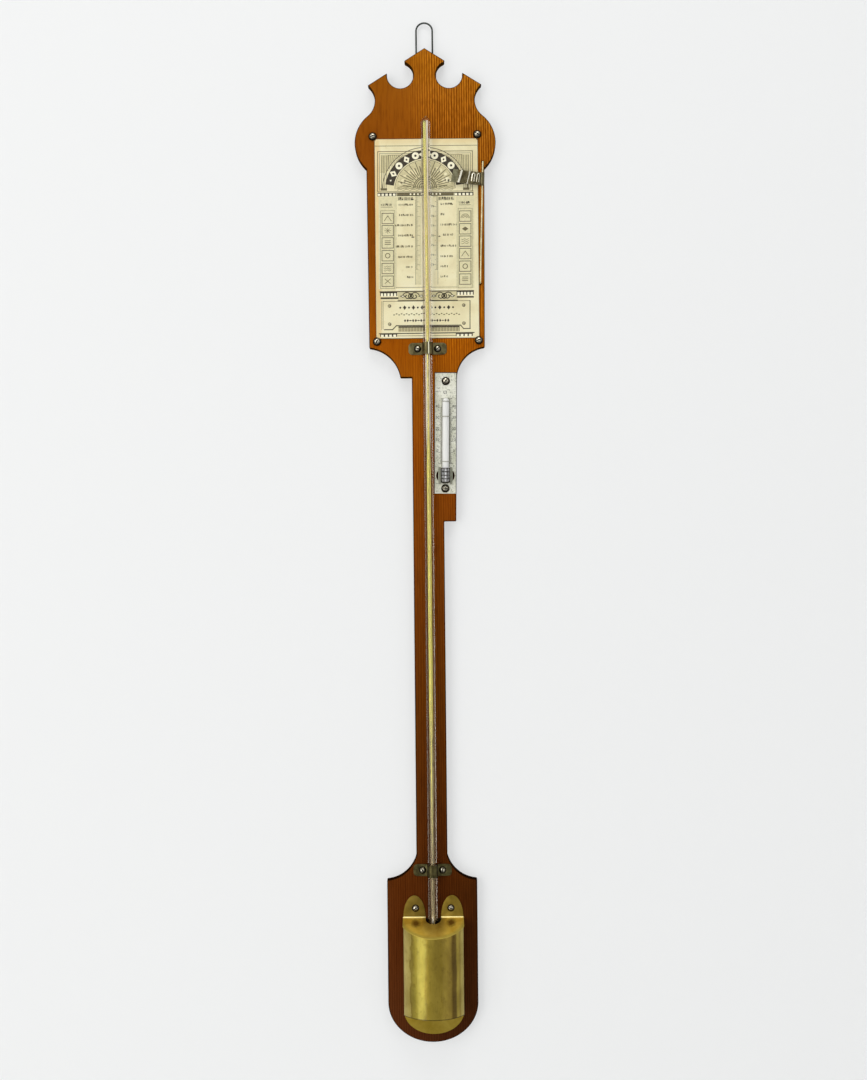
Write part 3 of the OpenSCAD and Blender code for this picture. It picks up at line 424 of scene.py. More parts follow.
def guard_paint():
    """Blackened grille bars between pale flanges, with painted shade on the flanges along the window's edge.
    """
    p = Paint("guard_metal", Roughness=0.4, Metallic=0.4)
    cloud = p.noise(400, 3, 0.6)
    x, z = on_therm(0, -WINDOW_DROP)
    # Painted shade: dark arcs on the flanges round the window
    around = p.ramp(p.far((1, 0, 1.185), (x, 0, z)),
                    (0.0083, 0.0), (0.0087, 1.0), (0.0094, 1.0), (0.0097, 0.0))
    flanges = p.ramp(cloud, (0.3, (160, 162, 138)), (0.7, (214, 214, 196)))
    bars = p.ramp(cloud, (0.3, (18, 16, 10)), (0.7, (48, 44, 32)))
    beside = p.ramp(p.far((1, 0, 0), (x, 0, z)), (0.0051, 0.0), (0.0055, 1.0))
    p.color(p.mix(beside, bars, p.mix(around, flanges, srgb(40, 36, 26))))
    return p


def thermometer_glass():
    """White glass, dull but for its bulb."""
    p = Paint("therm_glass", IOR=1.4, Transmission_Weight=0.1)
    bulb = p.axis("Z", -459.2, -460.2)
    p.color(p.mix(bulb, (0.86, 0.86, 0.83, 1), (1, 1, 1, 1)))
    p.roughness(p.ramp(bulb, (0.0, 0.14), (1.0, 0.3)))
    return p


def index_paint():
    """Dark worn brass, paler on the leaf's free end."""
    p = Paint("index_brass", Metallic=1.0)
    cloud = p.cloud(240)
    tone = p.ramp(cloud, (0.32, (58, 50, 34)), (0.68, (112, 104, 76)))
    pale_end = p.ramp(cloud, (0.32, (98, 94, 70)), (0.68, (142, 138, 110)))
    p.color(p.mix(p.axis("X", 34.5, 32.5), tone, pale_end))
    p.roughness(p.ramp(cloud, (0.2, 0.38), (0.8, 0.28)))
    p.bump(p.noise(3000, 2, 0.6), 0.1, 0.0001)
    return p


def plain_paint(name, color, roughness):
    """One tone, with fine lighter and darker specks."""
    p = Paint(name, color, Roughness=roughness)
    p.color(p.times(color, p.ramp(p.noise(600, 3, 0.6), (0.3, 0.7), (0.65, 1.1)), 0.4))
    return p


PAINTS = {
    "wood": wood_paint("wood"),
    # Dark wood for the board's edges and sides, and painted shade on the floors of its recesses
    "dark_rim_and_recess_shade": wood_paint("dark_rim_and_recess_shade", 0.36, 0.0),
    "paper": paper_paint(),
    "glass": glass_paint(),
    "enamel": enamel_paint(),
    "mercury": mercury_paint(),
    "therm_glass": thermometer_glass(),
    "therm_mercury": Paint("therm_mercury", (0.95, 0.95, 0.94, 1), Metallic=0.1, Roughness=0.4),
    "clip_brass": clip_paint(),
    "cover_brass": cover_paint(),
    "back_brass": back_paint(),
    "roof_brass": roof_paint(),
    "screw_brass": screw_paint(),
    "scale_metal": plate_paint(),
    "guard_metal": guard_paint(),
    "index_brass": index_paint(),
    # Bright paint for the painted highlights on the index leaf
    "index_highlight": metal_paint("index_highlight", (206, 200, 180), (246, 242, 226), 0.2),
    "rod_metal": metal_paint("rod_metal", (160, 148, 108), (212, 202, 160), 0.2),
    "hanger_steel": metal_paint("hanger_steel", (40, 42, 40), (76, 80, 76), 0.35),
}
# The card is dark brown where it shows round the paper, as painted shade along the paper's edge
for name, color, roughness in (
        ("card", (92, 66, 32), 0.7), ("felt", (70, 62, 54), 0.95), ("cork", (150, 112, 70), 0.9),
        ("screw_slot_shade", (22, 17, 12), 0.8), ("staple", (150, 150, 134), 0.5), ("marks", (24, 26, 18), 0.6),
        ("ink", (56, 48, 34), 0.8), ("ink_mid", (106, 97, 68), 0.8), ("ink_pale", (206, 196, 152), 0.8),
        ("ink_faint", (218, 210, 168), 0.8), ("ink_white", (246, 240, 210), 0.8)):
    PAINTS[name] = plain_paint(name, srgb(*color), roughness)


# Building pieces

BODY_OF = {n: body for body, nodes in frame["record"]["behaviour"]["bodies"].items() for n in nodes}
SLOTS = {
    "wood": ["backboard"], "card": ["scale_card"], "paper": ["scale_paper"], "cork": ["bulb_stopper"],
    "glass": ["barometer_tube", "thermometer_tube"], "enamel": ["tube_enamel_stripe"],
    "mercury": ["mercury_pool", "mercury_column", "mercury_meniscus", "thermometer_liquid"],
    "felt": ["bulb_cushion", "tube_pads"], "clip_brass": ["upper_tube_clip", "lower_tube_clip"],
    "cover_brass": ["cistern_backplate", "cistern_shell", "cistern_floor"], "roof_brass": ["cistern_roof"],
    "screw_brass": ["scale_screws", "clip_screws", "cistern_screws", "thermometer_screws"],
    "scale_metal": ["thermometer_plate"], "guard_metal": ["bulb_guard", "thermometer_staples"],
    "index_brass": ["index_pointer", "index_sleeve"], "rod_metal": ["index_rod"],
    "hanger_steel": ["hanger_bracket", "hanger_screws", "hanging_loop"],
}
SLOT_OF = {n: slot for slot, nodes in SLOTS.items() for n in nodes}
# The angle in degrees over which an edge stays sharp, on most pieces
SMOOTH = 32


def new_object(name, data):
    obj = bpy.data.objects.new(name, data)
    scene.collection.objects.link(obj)
    return obj


def settle(name, bm, paints, sharp, body, slot, *nodes):
    """A piece on its body, in place of CAD nodes, smooth but for edges over this many degrees."""
    mesh = bpy.data.meshes.new(name)
    bmesh.ops.recalc_face_normals(bm, faces=bm.faces)
    bm.to_mesh(mesh)
    bm.free()
    for key in paints:
        mesh.materials.append(PAINTS[key].material)
    mesh.polygons.foreach_set("use_smooth", [True] * len(mesh.polygons))
    mesh.set_sharp_from_angle(angle=radians(sharp))
    obj = new_object(name, mesh)
    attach(obj, body)
    if nodes:
        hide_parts(*nodes)


def welded(node):
    """A bmesh of a CAD node, with its doubled points made one."""
    bm = bmesh.new()
    bm.from_mesh(frame["nodes"][node].data)
    bmesh.ops.remove_doubles(bm, verts=bm.verts, dist=2e-6)
    return bm


# A depth just behind the board's face, and one just before its back
BEHIND_FACE = -0.0095
BEFORE_BACK = -0.0005


def on_front_or_back(edge):
    return all(v.co.y < BEHIND_FACE or v.co.y > BEFORE_BACK for v in edge.verts)


def softened(name, node, width, limit=30, where=None, rim=None, paint=None, clamp=True):
    """A CAD node whose edges over the limit, in degrees, are rounded by width, in millimetres."""
    bm = welded(node)
    bmesh.ops.dissolve_degenerate(bm, edges=bm.edges, dist=1e-6)
    edges = [e for e in bm.edges if len(e.link_faces) == 2 and e.calc_face_angle(0) > radians(limit)
             and (where is None or where(e))]
    made = bmesh.ops.bevel(bm, geom=edges, offset=width * MM, offset_type="OFFSET", segments=2, profile=0.5,
                           affect="EDGES", clamp_overlap=clamp)
    slot = SLOT_OF[node]
    paints = [paint or slot]
    if rim:
        # The rounding and the sides take the rim's darker paint, and the floors of the recesses take it as
        # painted shade
        paints.append(rim)
        for face in made["faces"]:
            face.material_index = 1
        for face in bm.faces:
            middle = face.calc_center_median().y
            if abs(face.normal.y) < 0.5 or BEHIND_FACE < middle < 2 * BEFORE_BACK:
                face.material_index = 1
    settle(name, bm, paints, SMOOTH, BODY_OF[node], slot, node)


def join_rows(bm, one, two):
    """Faces between two closed rows of points."""
    for i in range(len(one)):
        j = (i + 1) % len(one)
        bm.faces.new((one[i], one[j], two[j], two[i]))


def swept(bm, rings, segments=48):
    """Surface through rings, each (centre, one axis, other axis, radius), with its ends open."""
    turns = [2 * pi * i / segments for i in range(segments)]
    rows = [[bm.verts.new(centre + radius * (cos(t) * a + sin(t) * b)) for t in turns]
            for centre, a, b, radius in rings]
    for one, two in zip(rows, rows[1:]):
        join_rows(bm, one, two)
    return rows


def prism(bm, front, back):
    """A closed body between two outlines with as many points."""
    bm.faces.new(front)
    bm.faces.new(back[::-1])
    join_rows(bm, back, front)


def thin_sheet(bm, wide, tall, place):
    """A closed sheet with its points at place(i, j, side); gives the faces of side 0 by their i and j."""
    one, two = [[[bm.verts.new(place(i, j, side)) for j in range(tall + 1)] for i in range(wide + 1)]
                for side in (0, 1)]
    faces = {}
    for grid in (two, one):
        for i in range(wide):
            for j in range(tall):
                corners = (grid[i][j], grid[i + 1][j], grid[i + 1][j + 1], grid[i][j + 1])
                faces[i, j] = bm.faces.new(corners)
    for i in range(wide):
        for j in (0, tall):
            bm.faces.new((one[i][j], one[i + 1][j], two[i + 1][j], two[i][j]))
    for i in (0, wide):
        for j in range(tall):
            bm.faces.new((one[i][j], one[i][j + 1], two[i][j + 1], two[i][j]))
    return faces


def screws(name, node):
    """Screws from the frame, with their slots painted dark as painted shade."""
    bm = welded(node)
    # The slots' floors and walls take painted shade
    for face in bm.faces:
        if face.normal.y < -0.999 or abs(face.normal.y) < 0.05:
            face.material_index = 1
    settle(name, bm, ["screw_brass", "screw_slot_shade"], 40, BODY_OF[node], "screw_brass", node)


softened("board_body", "backboard", 0.8, 40, on_front_or_back, "dark_rim_and_recess_shade", clamp=False)
for kind in ("scale", "clip", "cistern", "thermometer"):
    screws(kind + "_screw_heads", kind + "_screws")


# Print on the scale, whose places are counted in columns and rows of 1.03 mm

PITCH = 1.03
MIDDLE_COLUMN = 425.4
TOP_ROW = 21
LEVEL_ROW = 174
COLUMNS_PER_ROW = 0.0096


def spot(x, y):
    """The place of a column and row on the part, in millimetres, with the columns' lean taken out."""
    return ((x - MIDDLE_COLUMN - COLUMNS_PER_ROW * (y - LEVEL_ROW)) * PITCH, (TOP_ROW - y) * PITCH)


def around(centre, r, degrees, side=1):
    """The place at a distance and an angle from a centre; a side of -1 mirrors it."""
    a = radians(degrees)
    return (centre[0] + side * r * cos(a), centre[1] - r * sin(a))


class Print:
    """Flat printed shapes of one tone, each a thin prism on a plane that faces forward."""

    def __init__(self, name, tone, y, height, place=spot):
        self.name, self.tone, self.y, self.height, self.place = name, tone, y, height, place
        self.bm = bmesh.new()

    def poly(self, points, mapped=True):
        flat = [self.place(*p) if mapped else p for p in points]
        back, front = ([self.bm.verts.new((x * MM, y * MM, z * MM)) for x, z in flat]
                       for y in (self.y + self.height / 3, self.y - self.height))
        prism(self.bm, front, back)

    def bar(self, x0, y0, x1, y1):
        self.poly([(x0, y0), (x1, y0), (x1, y1), (x0, y1)])

    def line(self, points, width):
        """A line of that width through points, whose parts have square ends half a width longer."""
        for (x0, y0), (x1, y1) in zip(points, points[1:]):
            scale = width / 2 / hypot(x1 - x0, y1 - y0)
            dx, dy = (x1 - x0) * scale, (y1 - y0) * scale
            self.poly([(x0 - dx + dy, y0 - dy - dx), (x1 + dx + dy, y1 + dy - dx),
                       (x1 + dx - dy, y1 + dy + dx), (x0 - dx - dy, y0 - dy + dx)])

    def frame(self, x0, y0, x1, y1, width):
        self.line([(x0, y0), (x1, y0), (x1, y1), (x0, y1), (x0, y0)], width)

    def ring(self, x, y, inner, outer, start=0.0, end=360.0, steps=24):
        step = (end - start) / steps
        for i in range(steps):
            a, b = start + step * i, start + step * (i + 1)
            self.poly([around((x, y), r, t) for r, t in ((inner, a), (outer, a), (outer, b), (inner, b))])

    def shape(self, x, y, radii, turn=0.0):
        """A closed shape whose corners stand at equal angles, at these distances from its middle."""
        self.poly([around((x, y), r, turn + 360 * i / len(radii)) for i, r in enumerate(radii)])

    def text(self, body, size, x, z, tilt=0.0):
        """Plain numbers, centred at x and z in millimetres."""
        data = bpy.data.curves.new(self.name + "_number", "FONT")
        data.body, data.size, data.align_x, data.align_y = body, size, "CENTER", "CENTER"
        data.resolution_u = 3
        holder = new_object(data.name, data)
        bpy.context.view_layer.update()
        mesh = bpy.data.meshes.new_from_object(holder.evaluated_get(bpy.context.evaluated_depsgraph_get()))
        c, s = cos(tilt), sin(tilt)
        places = [(x + v.co.x * c + v.co.y * s, z + v.co.y * c - v.co.x * s) for v in mesh.vertices]
        for face in mesh.polygons:
            self.poly([places[i] for i in face.vertices][::-1], False)
        bpy.data.objects.remove(holder)
        bpy.data.meshes.remove(mesh)

    def done(self, slot):
        settle(self.name, self.bm, [self.tone], SMOOTH, "board", slot)


def corner_cut_sheet(name, node, cut, slot):
    """The card or the paper, with its corners cut off."""
    a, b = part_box(node)
    bm = bmesh.new()
    cut *= MM
    outline = [(b.x, b.z - cut), (b.x - cut, b.z), (a.x + cut, b.z), (a.x, b.z - cut),
               (a.x, a.z + cut), (a.x + cut, a.z), (b.x - cut, a.z), (b.x, a.z + cut)]
    front, back = ([bm.verts.new((x, y, z)) for x, z in outline] for y in (a.y, b.y))
    prism(bm, front, back)
    settle(name, bm, [slot], SMOOTH, "board", slot, node)


corner_cut_sheet("card_sheet", "scale_card", 1.6, "card")
corner_cut_sheet("paper_sheet", "scale_paper", 1.8, "paper")

dark = Print("print_dark", "ink", PAPER_Y, 0.04)
mid = Print("print_mid", "ink_mid", PAPER_Y, 0.035)
pale = Print("print_pale", "ink_pale", PAPER_Y, 0.03)
white = Print("print_white", "ink_white", PAPER_Y, 0.045)
top = Print("print_top", "ink", PAPER_Y, 0.05)
blank = Print("print_blank", "paper", PAPER_Y, 0.032)
faint = Print("print_faint", "ink_faint", PAPER_Y, 0.028)

# Top line, and the frame with its two side columns over a grey wash
mid.line([(374.8, 145.6), (476.9, 145.6)], 0.55)
mid.line([(377.6, 191), (377.6, 151.2), (472.4, 151.2), (472.4, 191)], 0.7)
mid.line([(379.4, 190), (379.4, 153.2), (470.6, 153.2), (470.6, 190)], 0.45)
ARCH = (425, 190)
BAND_R = 35.7
WASH_TOP = 154.2
for side in (-1, 1):
    # The corner between the frame and the arch
    points = [around(ARCH, 42.8, a, side) for a in range(24, 61, 4)]
    for (x0, y0), (x1, y1) in zip(points, points[1:]):
        pale.poly([(x0, y0), (x1, y1), (x1, WASH_TOP), (x0, WASH_TOP)])
    pale.bar(ARCH[0] + side * 44.6, WASH_TOP, ARCH[0] + side * 39.1, 172.6)
    for step, width in ((38.5, 0.5), (40.2, 0.35), (41.6, 0.5), (43.2, 0.6)):
        mid.line([(ARCH[0] + side * step, 155.4), (ARCH[0] + side * (step + 0.4), 187.5)], width)
    for i in range(9):
        mid.line([(ARCH[0] + side * (20.5 + i * 2.0), 155.0),
                  (ARCH[0] + side * (25 + i * 1.5), 158.4 + i * 1.5)], 0.4)
    mid.line([(ARCH[0] + side * x, y) for x, y in ((8, 154.8), (37, 154.8), (37, 170))], 0.4)
    mid.bar(ARCH[0] + side * 44.5, 187.8, ARCH[0] + side * 38, 190.2)

# The arch: a dark band with pale lozenges and rings, a pale ring round it and thin lines beside them
dark.ring(*ARCH, 31.5, 40, 8.6, 171.4, 60)
dark.ring(*ARCH, 42.4, 43.0, 3, 177, 60)
mid.ring(*ARCH, 30.0, 30.5, 3, 177, 60)
blank.ring(*ARCH, 40.1, 42.4, 3, 177, 60)
for i in range(-4, 5):
    turn = 90 - i * 15.6
    place = around(ARCH, BAND_R, turn)
    if i % 2:
        white.ring(*place, 1.2, 3.6, 0, 360, 16)
    elif i:
        white.shape(*place, [4.0, 3.2, 4.0, 3.2], turn)
        top.shape(*place, [1.4, 1.0, 1.4, 1.0], turn)
    else:
        white.shape(*place, [3.8, 7.0, 3.8, 7.0], turn)
for turn in (16, 164):
    white.shape(*around(ARCH, BAND_R, turn), [1.3, 0.5] * 5, turn + 180)

# Under the arch: a low sun with rays over waves, on the same wash
SUN = (425, 188)
pale.poly([around(ARCH, 29.8, a) for a in range(2, 179, 4)])
for i in range(25):
    if 11 <= i <= 13:
        continue
    ends, width = ((12.5, 27.5), 0.75) if i % 2 else ((14.5, 22.0), 1.0)
    mid.line([around(SUN, r, 7 + i * 166 / 24) for r in ends], width)
CLOUDS = ((22, 181.5, 2.6), (18.6, 182.4, 2.2), (24.6, 182.8, 1.9), (15.4, 172.2, 1.9), (12.2, 171.6, 2.5),
          (9.0, 172.6, 1.9), (20.5, 176.0, 1.5))
for side in (-1, 1):
    for x, y, r in CLOUDS:
        blank.shape(SUN[0] + side * x, y - (side + 1), [r] * 12)
for r in (3.5, 5.5, 7.5, 9.5, 11):
    mid.ring(*SUN, r, r + 0.9, 0, 180, 24)
for row in range(3):
    y = 186.6 + row * 1.5
    mid.line([(397 + i * 1.4, y + 0.5 * sin(i * 1.3 + row)) for i in range(41)], 0.4)

# Bead rows and the dark bar
mid.line([(377.5, 191.2), (473, 191.2)], 0.5)
dark.bar(377.5, 192.2, 473.4, 192.9)
mid.bar(397, 192.8, 453.8, 195.3)
dark.bar(397, 195.2, 453.8, 195.8)
for start in (378.6, 455.6):
    dark.bar(start - 1.2, 192.6, start + 17.8, 195.9)
    for i in range(5):
        white.bar(start - 0.9 + i * 3.8, 193.2, start + 1.6 + i * 3.8, 195.5)
for i in range(9):
    white.shape(410.5 + i * 3.7, 194, [1.1, 0.8] * 4)


def marks(tone, x0, x1, y, height, seed):
    """A row of small upright marks, as long as a line of print, that spells nothing."""
    pick = random.Random(seed)
    x = x0
    while x < x1 - 0.6:
        wide = pick.choice((0.45, 0.6, 0.9))
        half = height / 2 * pick.choice((0.8, 1.0, 1.0))
        tone.bar(x, y - half, min(x + wide, x1), y + half)
        if pick.random() < 0.45:
            tone.bar(x, y + pick.choice((-0.5, 0.1, 0.5)) * height - 0.2, min(x + wide + 0.9, x1), y + 0.2)
        x += wide + pick.choice((0.45, 0.6, 1.2))


def tick(count, longest):
    """The length of a ladder's mark, by its number in the ladder."""
    return longest if count % 10 == 0 else 2.6 if count % 5 == 0 else 1.7


# Headings over the columns
for x0, x1 in ((398.2, 414), (438.5, 453.5)):
    faint.bar(x0 - 1.4, 196.4, x1 + 1.4, 200.6)
    marks(dark, x0, x1, 198.5, 3.0, int(x0))
for x0, y in ((381, 204.4), (459, 202.8)):
    marks(dark, x0, x0 + 11.4, y, 2.2, int(y * 3))
    dark.line([(x0, y + 2.3), (x0 + 11.4, y + 2.3)], 0.4)

# Rows of marks beside the ladders
MIDDLE_ROW = 235.2
ROWS = (204.5, 214.8, 225.1, MIDDLE_ROW, 246.3, 256.7, 266.8, 277.0)
LEFT = (398.6, 399, 395, 398, 396, 398, 406, 407)
RIGHT = (453, 445, 457, 453, 457, 453, 448, 448)
for y, x0, x1 in zip(ROWS, LEFT, RIGHT):
    marks(mid, x0, 413.2, y, 2.0, int(y))
    marks(mid, 443 if y == MIDDLE_ROW else 440.6, x1, y - 0.4, 2.0, int(y) + 50)
dark.shape(412.8, 237.0, [1.9, 0.7, 1.9, 0.7])
dark.shape(439.4, 236.4, [1.4, 0.7, 1.4, 0.7])

# Ladders: 76 cm of mercury is the fourth row, and the marks stand 1 mm apart
MARK_76 = TOP_ROW + 221 / PITCH
LADDER_LEFT = 415.6
LADDER_RIGHT = 437.9
faint.bar(LADDER_LEFT, 196.4, 421.4, 284.5)
for x, way in ((LADDER_LEFT, 1), (LADDER_RIGHT, -1)):
    dark.line([(x, 200), (x, 284.5)], 0.28)
    for i in range(-42, 36):
        y = MARK_76 + i / PITCH
        dark.line([(x, y), (x + way * tick(i, 4.6), y)], 0.26)
for number in range(73, 80):
    x, z = spot(434.6, MARK_76 - (number - 76) * 10 / PITCH)
    dark.text(str(number), 3.0, x - 2.2, z)

# Side columns: a thin outline round six boxes with plain signs
SIGNS = {
    "ring": lambda t, x, y: t.ring(x, y, 1.9, 2.7),
    "rays": lambda t, x, y: [t.line([(x, y), around((x, y), 3, a)], 0.4) for a in range(0, 360, 45)],
    "waves": lambda t, x, y: [t.line([(x - 3.5 + i, y + d + 0.6 * sin(i * 1.6)) for i in range(8)], 0.4)
                              for d in (-2, 0, 2)],
    "peak": lambda t, x, y: t.line([(x - 3.5, y + 2.4), (x, y - 2.6), (x + 3.5, y + 2.4)], 0.6),
    "cross": lambda t, x, y: [t.line([(x - 2.6, y - d), (x + 2.6, y + d)], 0.6) for d in (-2.2, 2.2)],
    "lozenge": lambda t, x, y: t.shape(x, y, [3.2, 2.2, 3.2, 2.2]),
    "bars": lambda t, x, y: [t.bar(x - 3, y + d, x + 3, y + d + 0.7) for d in (-2.4, -0.6, 1.2)],
    "arcs": lambda t, x, y: [t.ring(x, y + 2, r, r + 0.5, 0, 180, 12) for r in (1.4, 2.8, 4.0)],
}
for x0, x1, boxes in (
        (382, 393.4, ((212.9, "peak"), (225.1, "rays"), (237.3, "bars"), (250.1, "ring"), (262.9, "waves"),
                      (275.6, "cross"))),
        (459.5, 470.9, ((211.2, "arcs"), (223.9, "lozenge"), (236.3, "waves"), (248.7, "peak"),
                        (261.3, "ring"), (274.2, "bars")))):
    mid.frame(x0 - 1.4, boxes[0][0] - 2.6, x1 + 1.3, 288.2, 0.35)
    faint.bar(x0 - 3.4, 196.6, x1 + 3.4, 288.6)
    for y, sign in boxes:
        dark.frame(x0, y, x1, y + 10.4, 0.6)
        SIGNS[sign](mid, (x0 + x1) / 2, y + 5.2)

# Divider and ornament band
mid.line([(396, 287.2), (457, 287.2)], 0.4)
white.line([(396, 289.6), (457, 289.6)], 0.9)
dark.line([(380.0, 291.4), (473.4, 291.0)], 1.0)
for start, y in ((380.8, 294.4), (457.4, 293.8)):
    dark.bar(start - 0.8, y - 2.6, start + 16.4, y + 1.2)
    for i in range(5):
        white.bar(start + i * 3.3, y - 1.5, start + i * 3.3 + 2.2, y + 1.6)
dark.bar(380.6, 297.0, 398.4, 298.6)
dark.bar(456.8, 296.4, 473.8, 298.0)
pale.bar(398, 291.8, 457.5, 300)
BAND_ROW = 296.0
for centre, way in ((411, -1), (444, 1)):
    for turn in (-1, 1):
        points = []
        for i in range(22):
            t = i / 21
            r = 4.6 * (1 - 0.72 * t)
            a = radians(20 + 400 * t)
            points.append((centre + way * turn * (3.6 + r * cos(a)), BAND_ROW - r * sin(a) * 0.9))
        dark.line(points, 0.85)
    for step in (-10.2, 8.2):
        dark.shape(centre + way * step, BAND_ROW, [3.2, 1.4, 3.2, 1.4])
        white.shape(centre + way * step, BAND_ROW, [1.5, 0.7, 1.5, 0.7])
    dark.ring(centre + way * 0.2, BAND_ROW, 1.9, 2.9, 0, 360, 16)
    dark.shape(centre + way * 0.2, BAND_ROW, [1.2] * 10)
dark.line([(398, 300.4), (457.5, 300.4)], 0.7)

# Panel: frame, corner studs and plain rows of ornaments
mid.line([(383, 301), (470, 301)], 0.5)
dark.line([(470, 301), (470, 328.6)], 0.8)
mid.line([(383, 301), (383, 328.6)], 0.5)
mid.line([(381.4, 329.4), (381.4, 301)], 0.35)
for x, y in ((389.4, 305.6), (463.6, 305.4), (389.6, 323.8), (463.8, 323.4)):
    mid.ring(x, y, 1.0, 1.7, 0, 360, 14)
    dark.ring(x, y, 0.9, 1.8, 270, 400, 8)
    dark.shape(x, y, [0.6] * 8)
PANEL_MIDDLE = 426.6
for i in range(-6, 7):
    dark.shape(PANEL_MIDDLE + i * 4.4, 307.4, [1.7, 2.2, 1.7, 2.2] if i % 2 else [1.0] * 8)
for i in range(-13, 14):
    x = PANEL_MIDDLE + i * 2.5
    mid.bar(x - 0.8, 313.1 + i % 2, x + 0.8, 314.1 + i % 2)
for i in range(-8, 9):
    dark.shape(PANEL_MIDDLE + i * 2.7, 320.4, [1.1, 1.6, 1.1, 1.6] if i % 3 else [1.8, 0.6, 1.8, 0.6])
dark.line([(384.4, 329.3), (392.6, 329.3), (396.4, 325.4), (460.6, 325.4), (463.6, 328.8), (470.2, 328.8)],
          0.9)
pale.bar(398.4, 326.0, 459.6, 331.8)
dark.bar(398.4, 326.0, 459.6, 327.4)
for i in range(41):
    mid.bar(398.8 + i * 1.5, 327.4, 399.5 + i * 1.5, 331.2)
dark.line([(379.4, 333.3), (474, 332.9)], 1.0)
for start in (381, 456.6):
    dark.bar(start - 0.8, 333.4, start + 16.2, 336.4)
    for i in range(4):
        white.bar(start + i * 4.1, 334.3, start + i * 4.1 + 2.7, 336.6)
mid.line([(398, 335.6), (456, 335.6)], 0.5)

for tone in (dark, mid, pale, faint, blank, white, top):
    tone.done("paper")


# Barometer tube: glass with its bore, round the liquid and the stripe from the frame

SIPHON_SPAN = 16.5
SIPHON_TURN = radians(-25)
SEAL = 1.6
BORE_DROP = 4.2
BULB_R = 10.5
BULB_DOME = 6
BULB_LOW = 10
BULB_HIGH = 32
NECK_TOP = 43


def siphon_rings():
    """Outer and inner rings, from the sealed tip down the tube, round the bend and up the open bulb."""
    along = Vector((cos(SIPHON_TURN), sin(SIPHON_TURN), 0))
    across = Vector((-sin(SIPHON_TURN), cos(SIPHON_TURN), 0))
    up = Vector((0, 0, 1))
    foot = Vector((TUBE[0], TUBE[1], BEND_Z)) * MM
    height = TIP_Z - SEAL - BEND_Z

    def ring(x, z, radius, slope=0.0):
        """A ring in the siphon's own plane; slope is the angle of its tube's direction from up."""
        side = cos(slope) * along - sin(slope) * up
        return (foot + along * x * MM + up * z * MM, side, across, radius * MM)

    def dome(base, z, radius, rise, degrees):
        """Rings of one rounded end of the bulb, at these angles of a circle flattened to the rise."""
        for a in degrees:
            a = radians(a)
            yield ring(SIPHON_SPAN, z + rise * sin(a), base + radius * cos(a), pi)

    def bulb(wall, foot_r, neck_r):
        r, rise = BULB_R - wall, BULB_DOME - wall
        quarter = range(0, 91, 10)
        return [*dome(foot_r, BULB_LOW, r - foot_r, rise, [a - 90 for a in quarter]),
                *dome(neck_r, BULB_HIGH, r - neck_r, rise, quarter),
                ring(SIPHON_SPAN, NECK_TOP, neck_r, pi)]

    outer = [ring(0, height + SEAL, 0.1), ring(0, height + 1.2, 0.45), ring(0, height + 0.5, 1.0)]
    for a in (72, 60, 45, 30, 15, 0):
        a = radians(a)
        outer.append(ring(0, height - TUBE_R + TUBE_R * sin(a), TUBE_R * cos(a)))
    inner = [ring(0, height - 3.4, 0.1), ring(0, height - 3.6, BORE_R * 0.7),
             ring(0, height - BORE_DROP, BORE_R)]
    for i in range(1, 13):
        outer.append(ring(0, (height - TUBE_R) * (1 - i / 12), TUBE_R))
        inner.append(ring(0, (height - BORE_DROP) * (1 - i / 12), BORE_R))
    for i in range(1, 17):
        a = pi * i / 16
        x, z = SIPHON_SPAN / 2 * (1 - cos(a)), -SIPHON_SPAN / 2 * sin(a)
        outer.append(ring(x, z, TUBE_R, -a))
        inner.append(ring(x, z, BORE_R, -a))
    # On the far side of the bend the rings are turned over, as the tube now runs up
    return outer + bulb(0, TUBE_R, 4.0), inner + bulb(1.0, BORE_R, 2.9)


def siphon_glass():
    """The glass between the outer and the inner surface, which meet at the bulb's mouth."""
    outer, inner = siphon_rings()
    bm = bmesh.new()
    out_rows, in_rows = swept(bm, outer), swept(bm, inner)
    join_rows(bm, out_rows[-1], in_rows[-1])
    bm.faces.new(out_rows[0])
    bm.faces.new(in_rows[0])
    settle("siphon_glass", bm, ["glass"], 50, "board", "glass", "barometer_tube")


siphon_glass()


# Cistern cover

ROOF_SLOPE = tan(radians(24))
ROOF_RISE = 0.876
DENT_DEPTH = 0.14


def cover_plan():
    """The cover's outline in plan, from its back left corner round the front to its back right corner."""
    centre = Vector((COVER_X, COVER_CENTRE_Y))
    end = asin(COVER_HALF / COVER_RADIUS)
    front = [centre + COVER_RADIUS * Vector((sin(a), -cos(a)))
             for a in (-end + 2 * end * i / 60 for i in range(61))]
    left, right = ([Vector((COVER_X + side * COVER_HALF, FACE_Y - COVER_SHEET - t))
                    for t in (0, 3, 6, 9, 11.5)] for side in (-1, 1))
    return left + front + right[::-1]


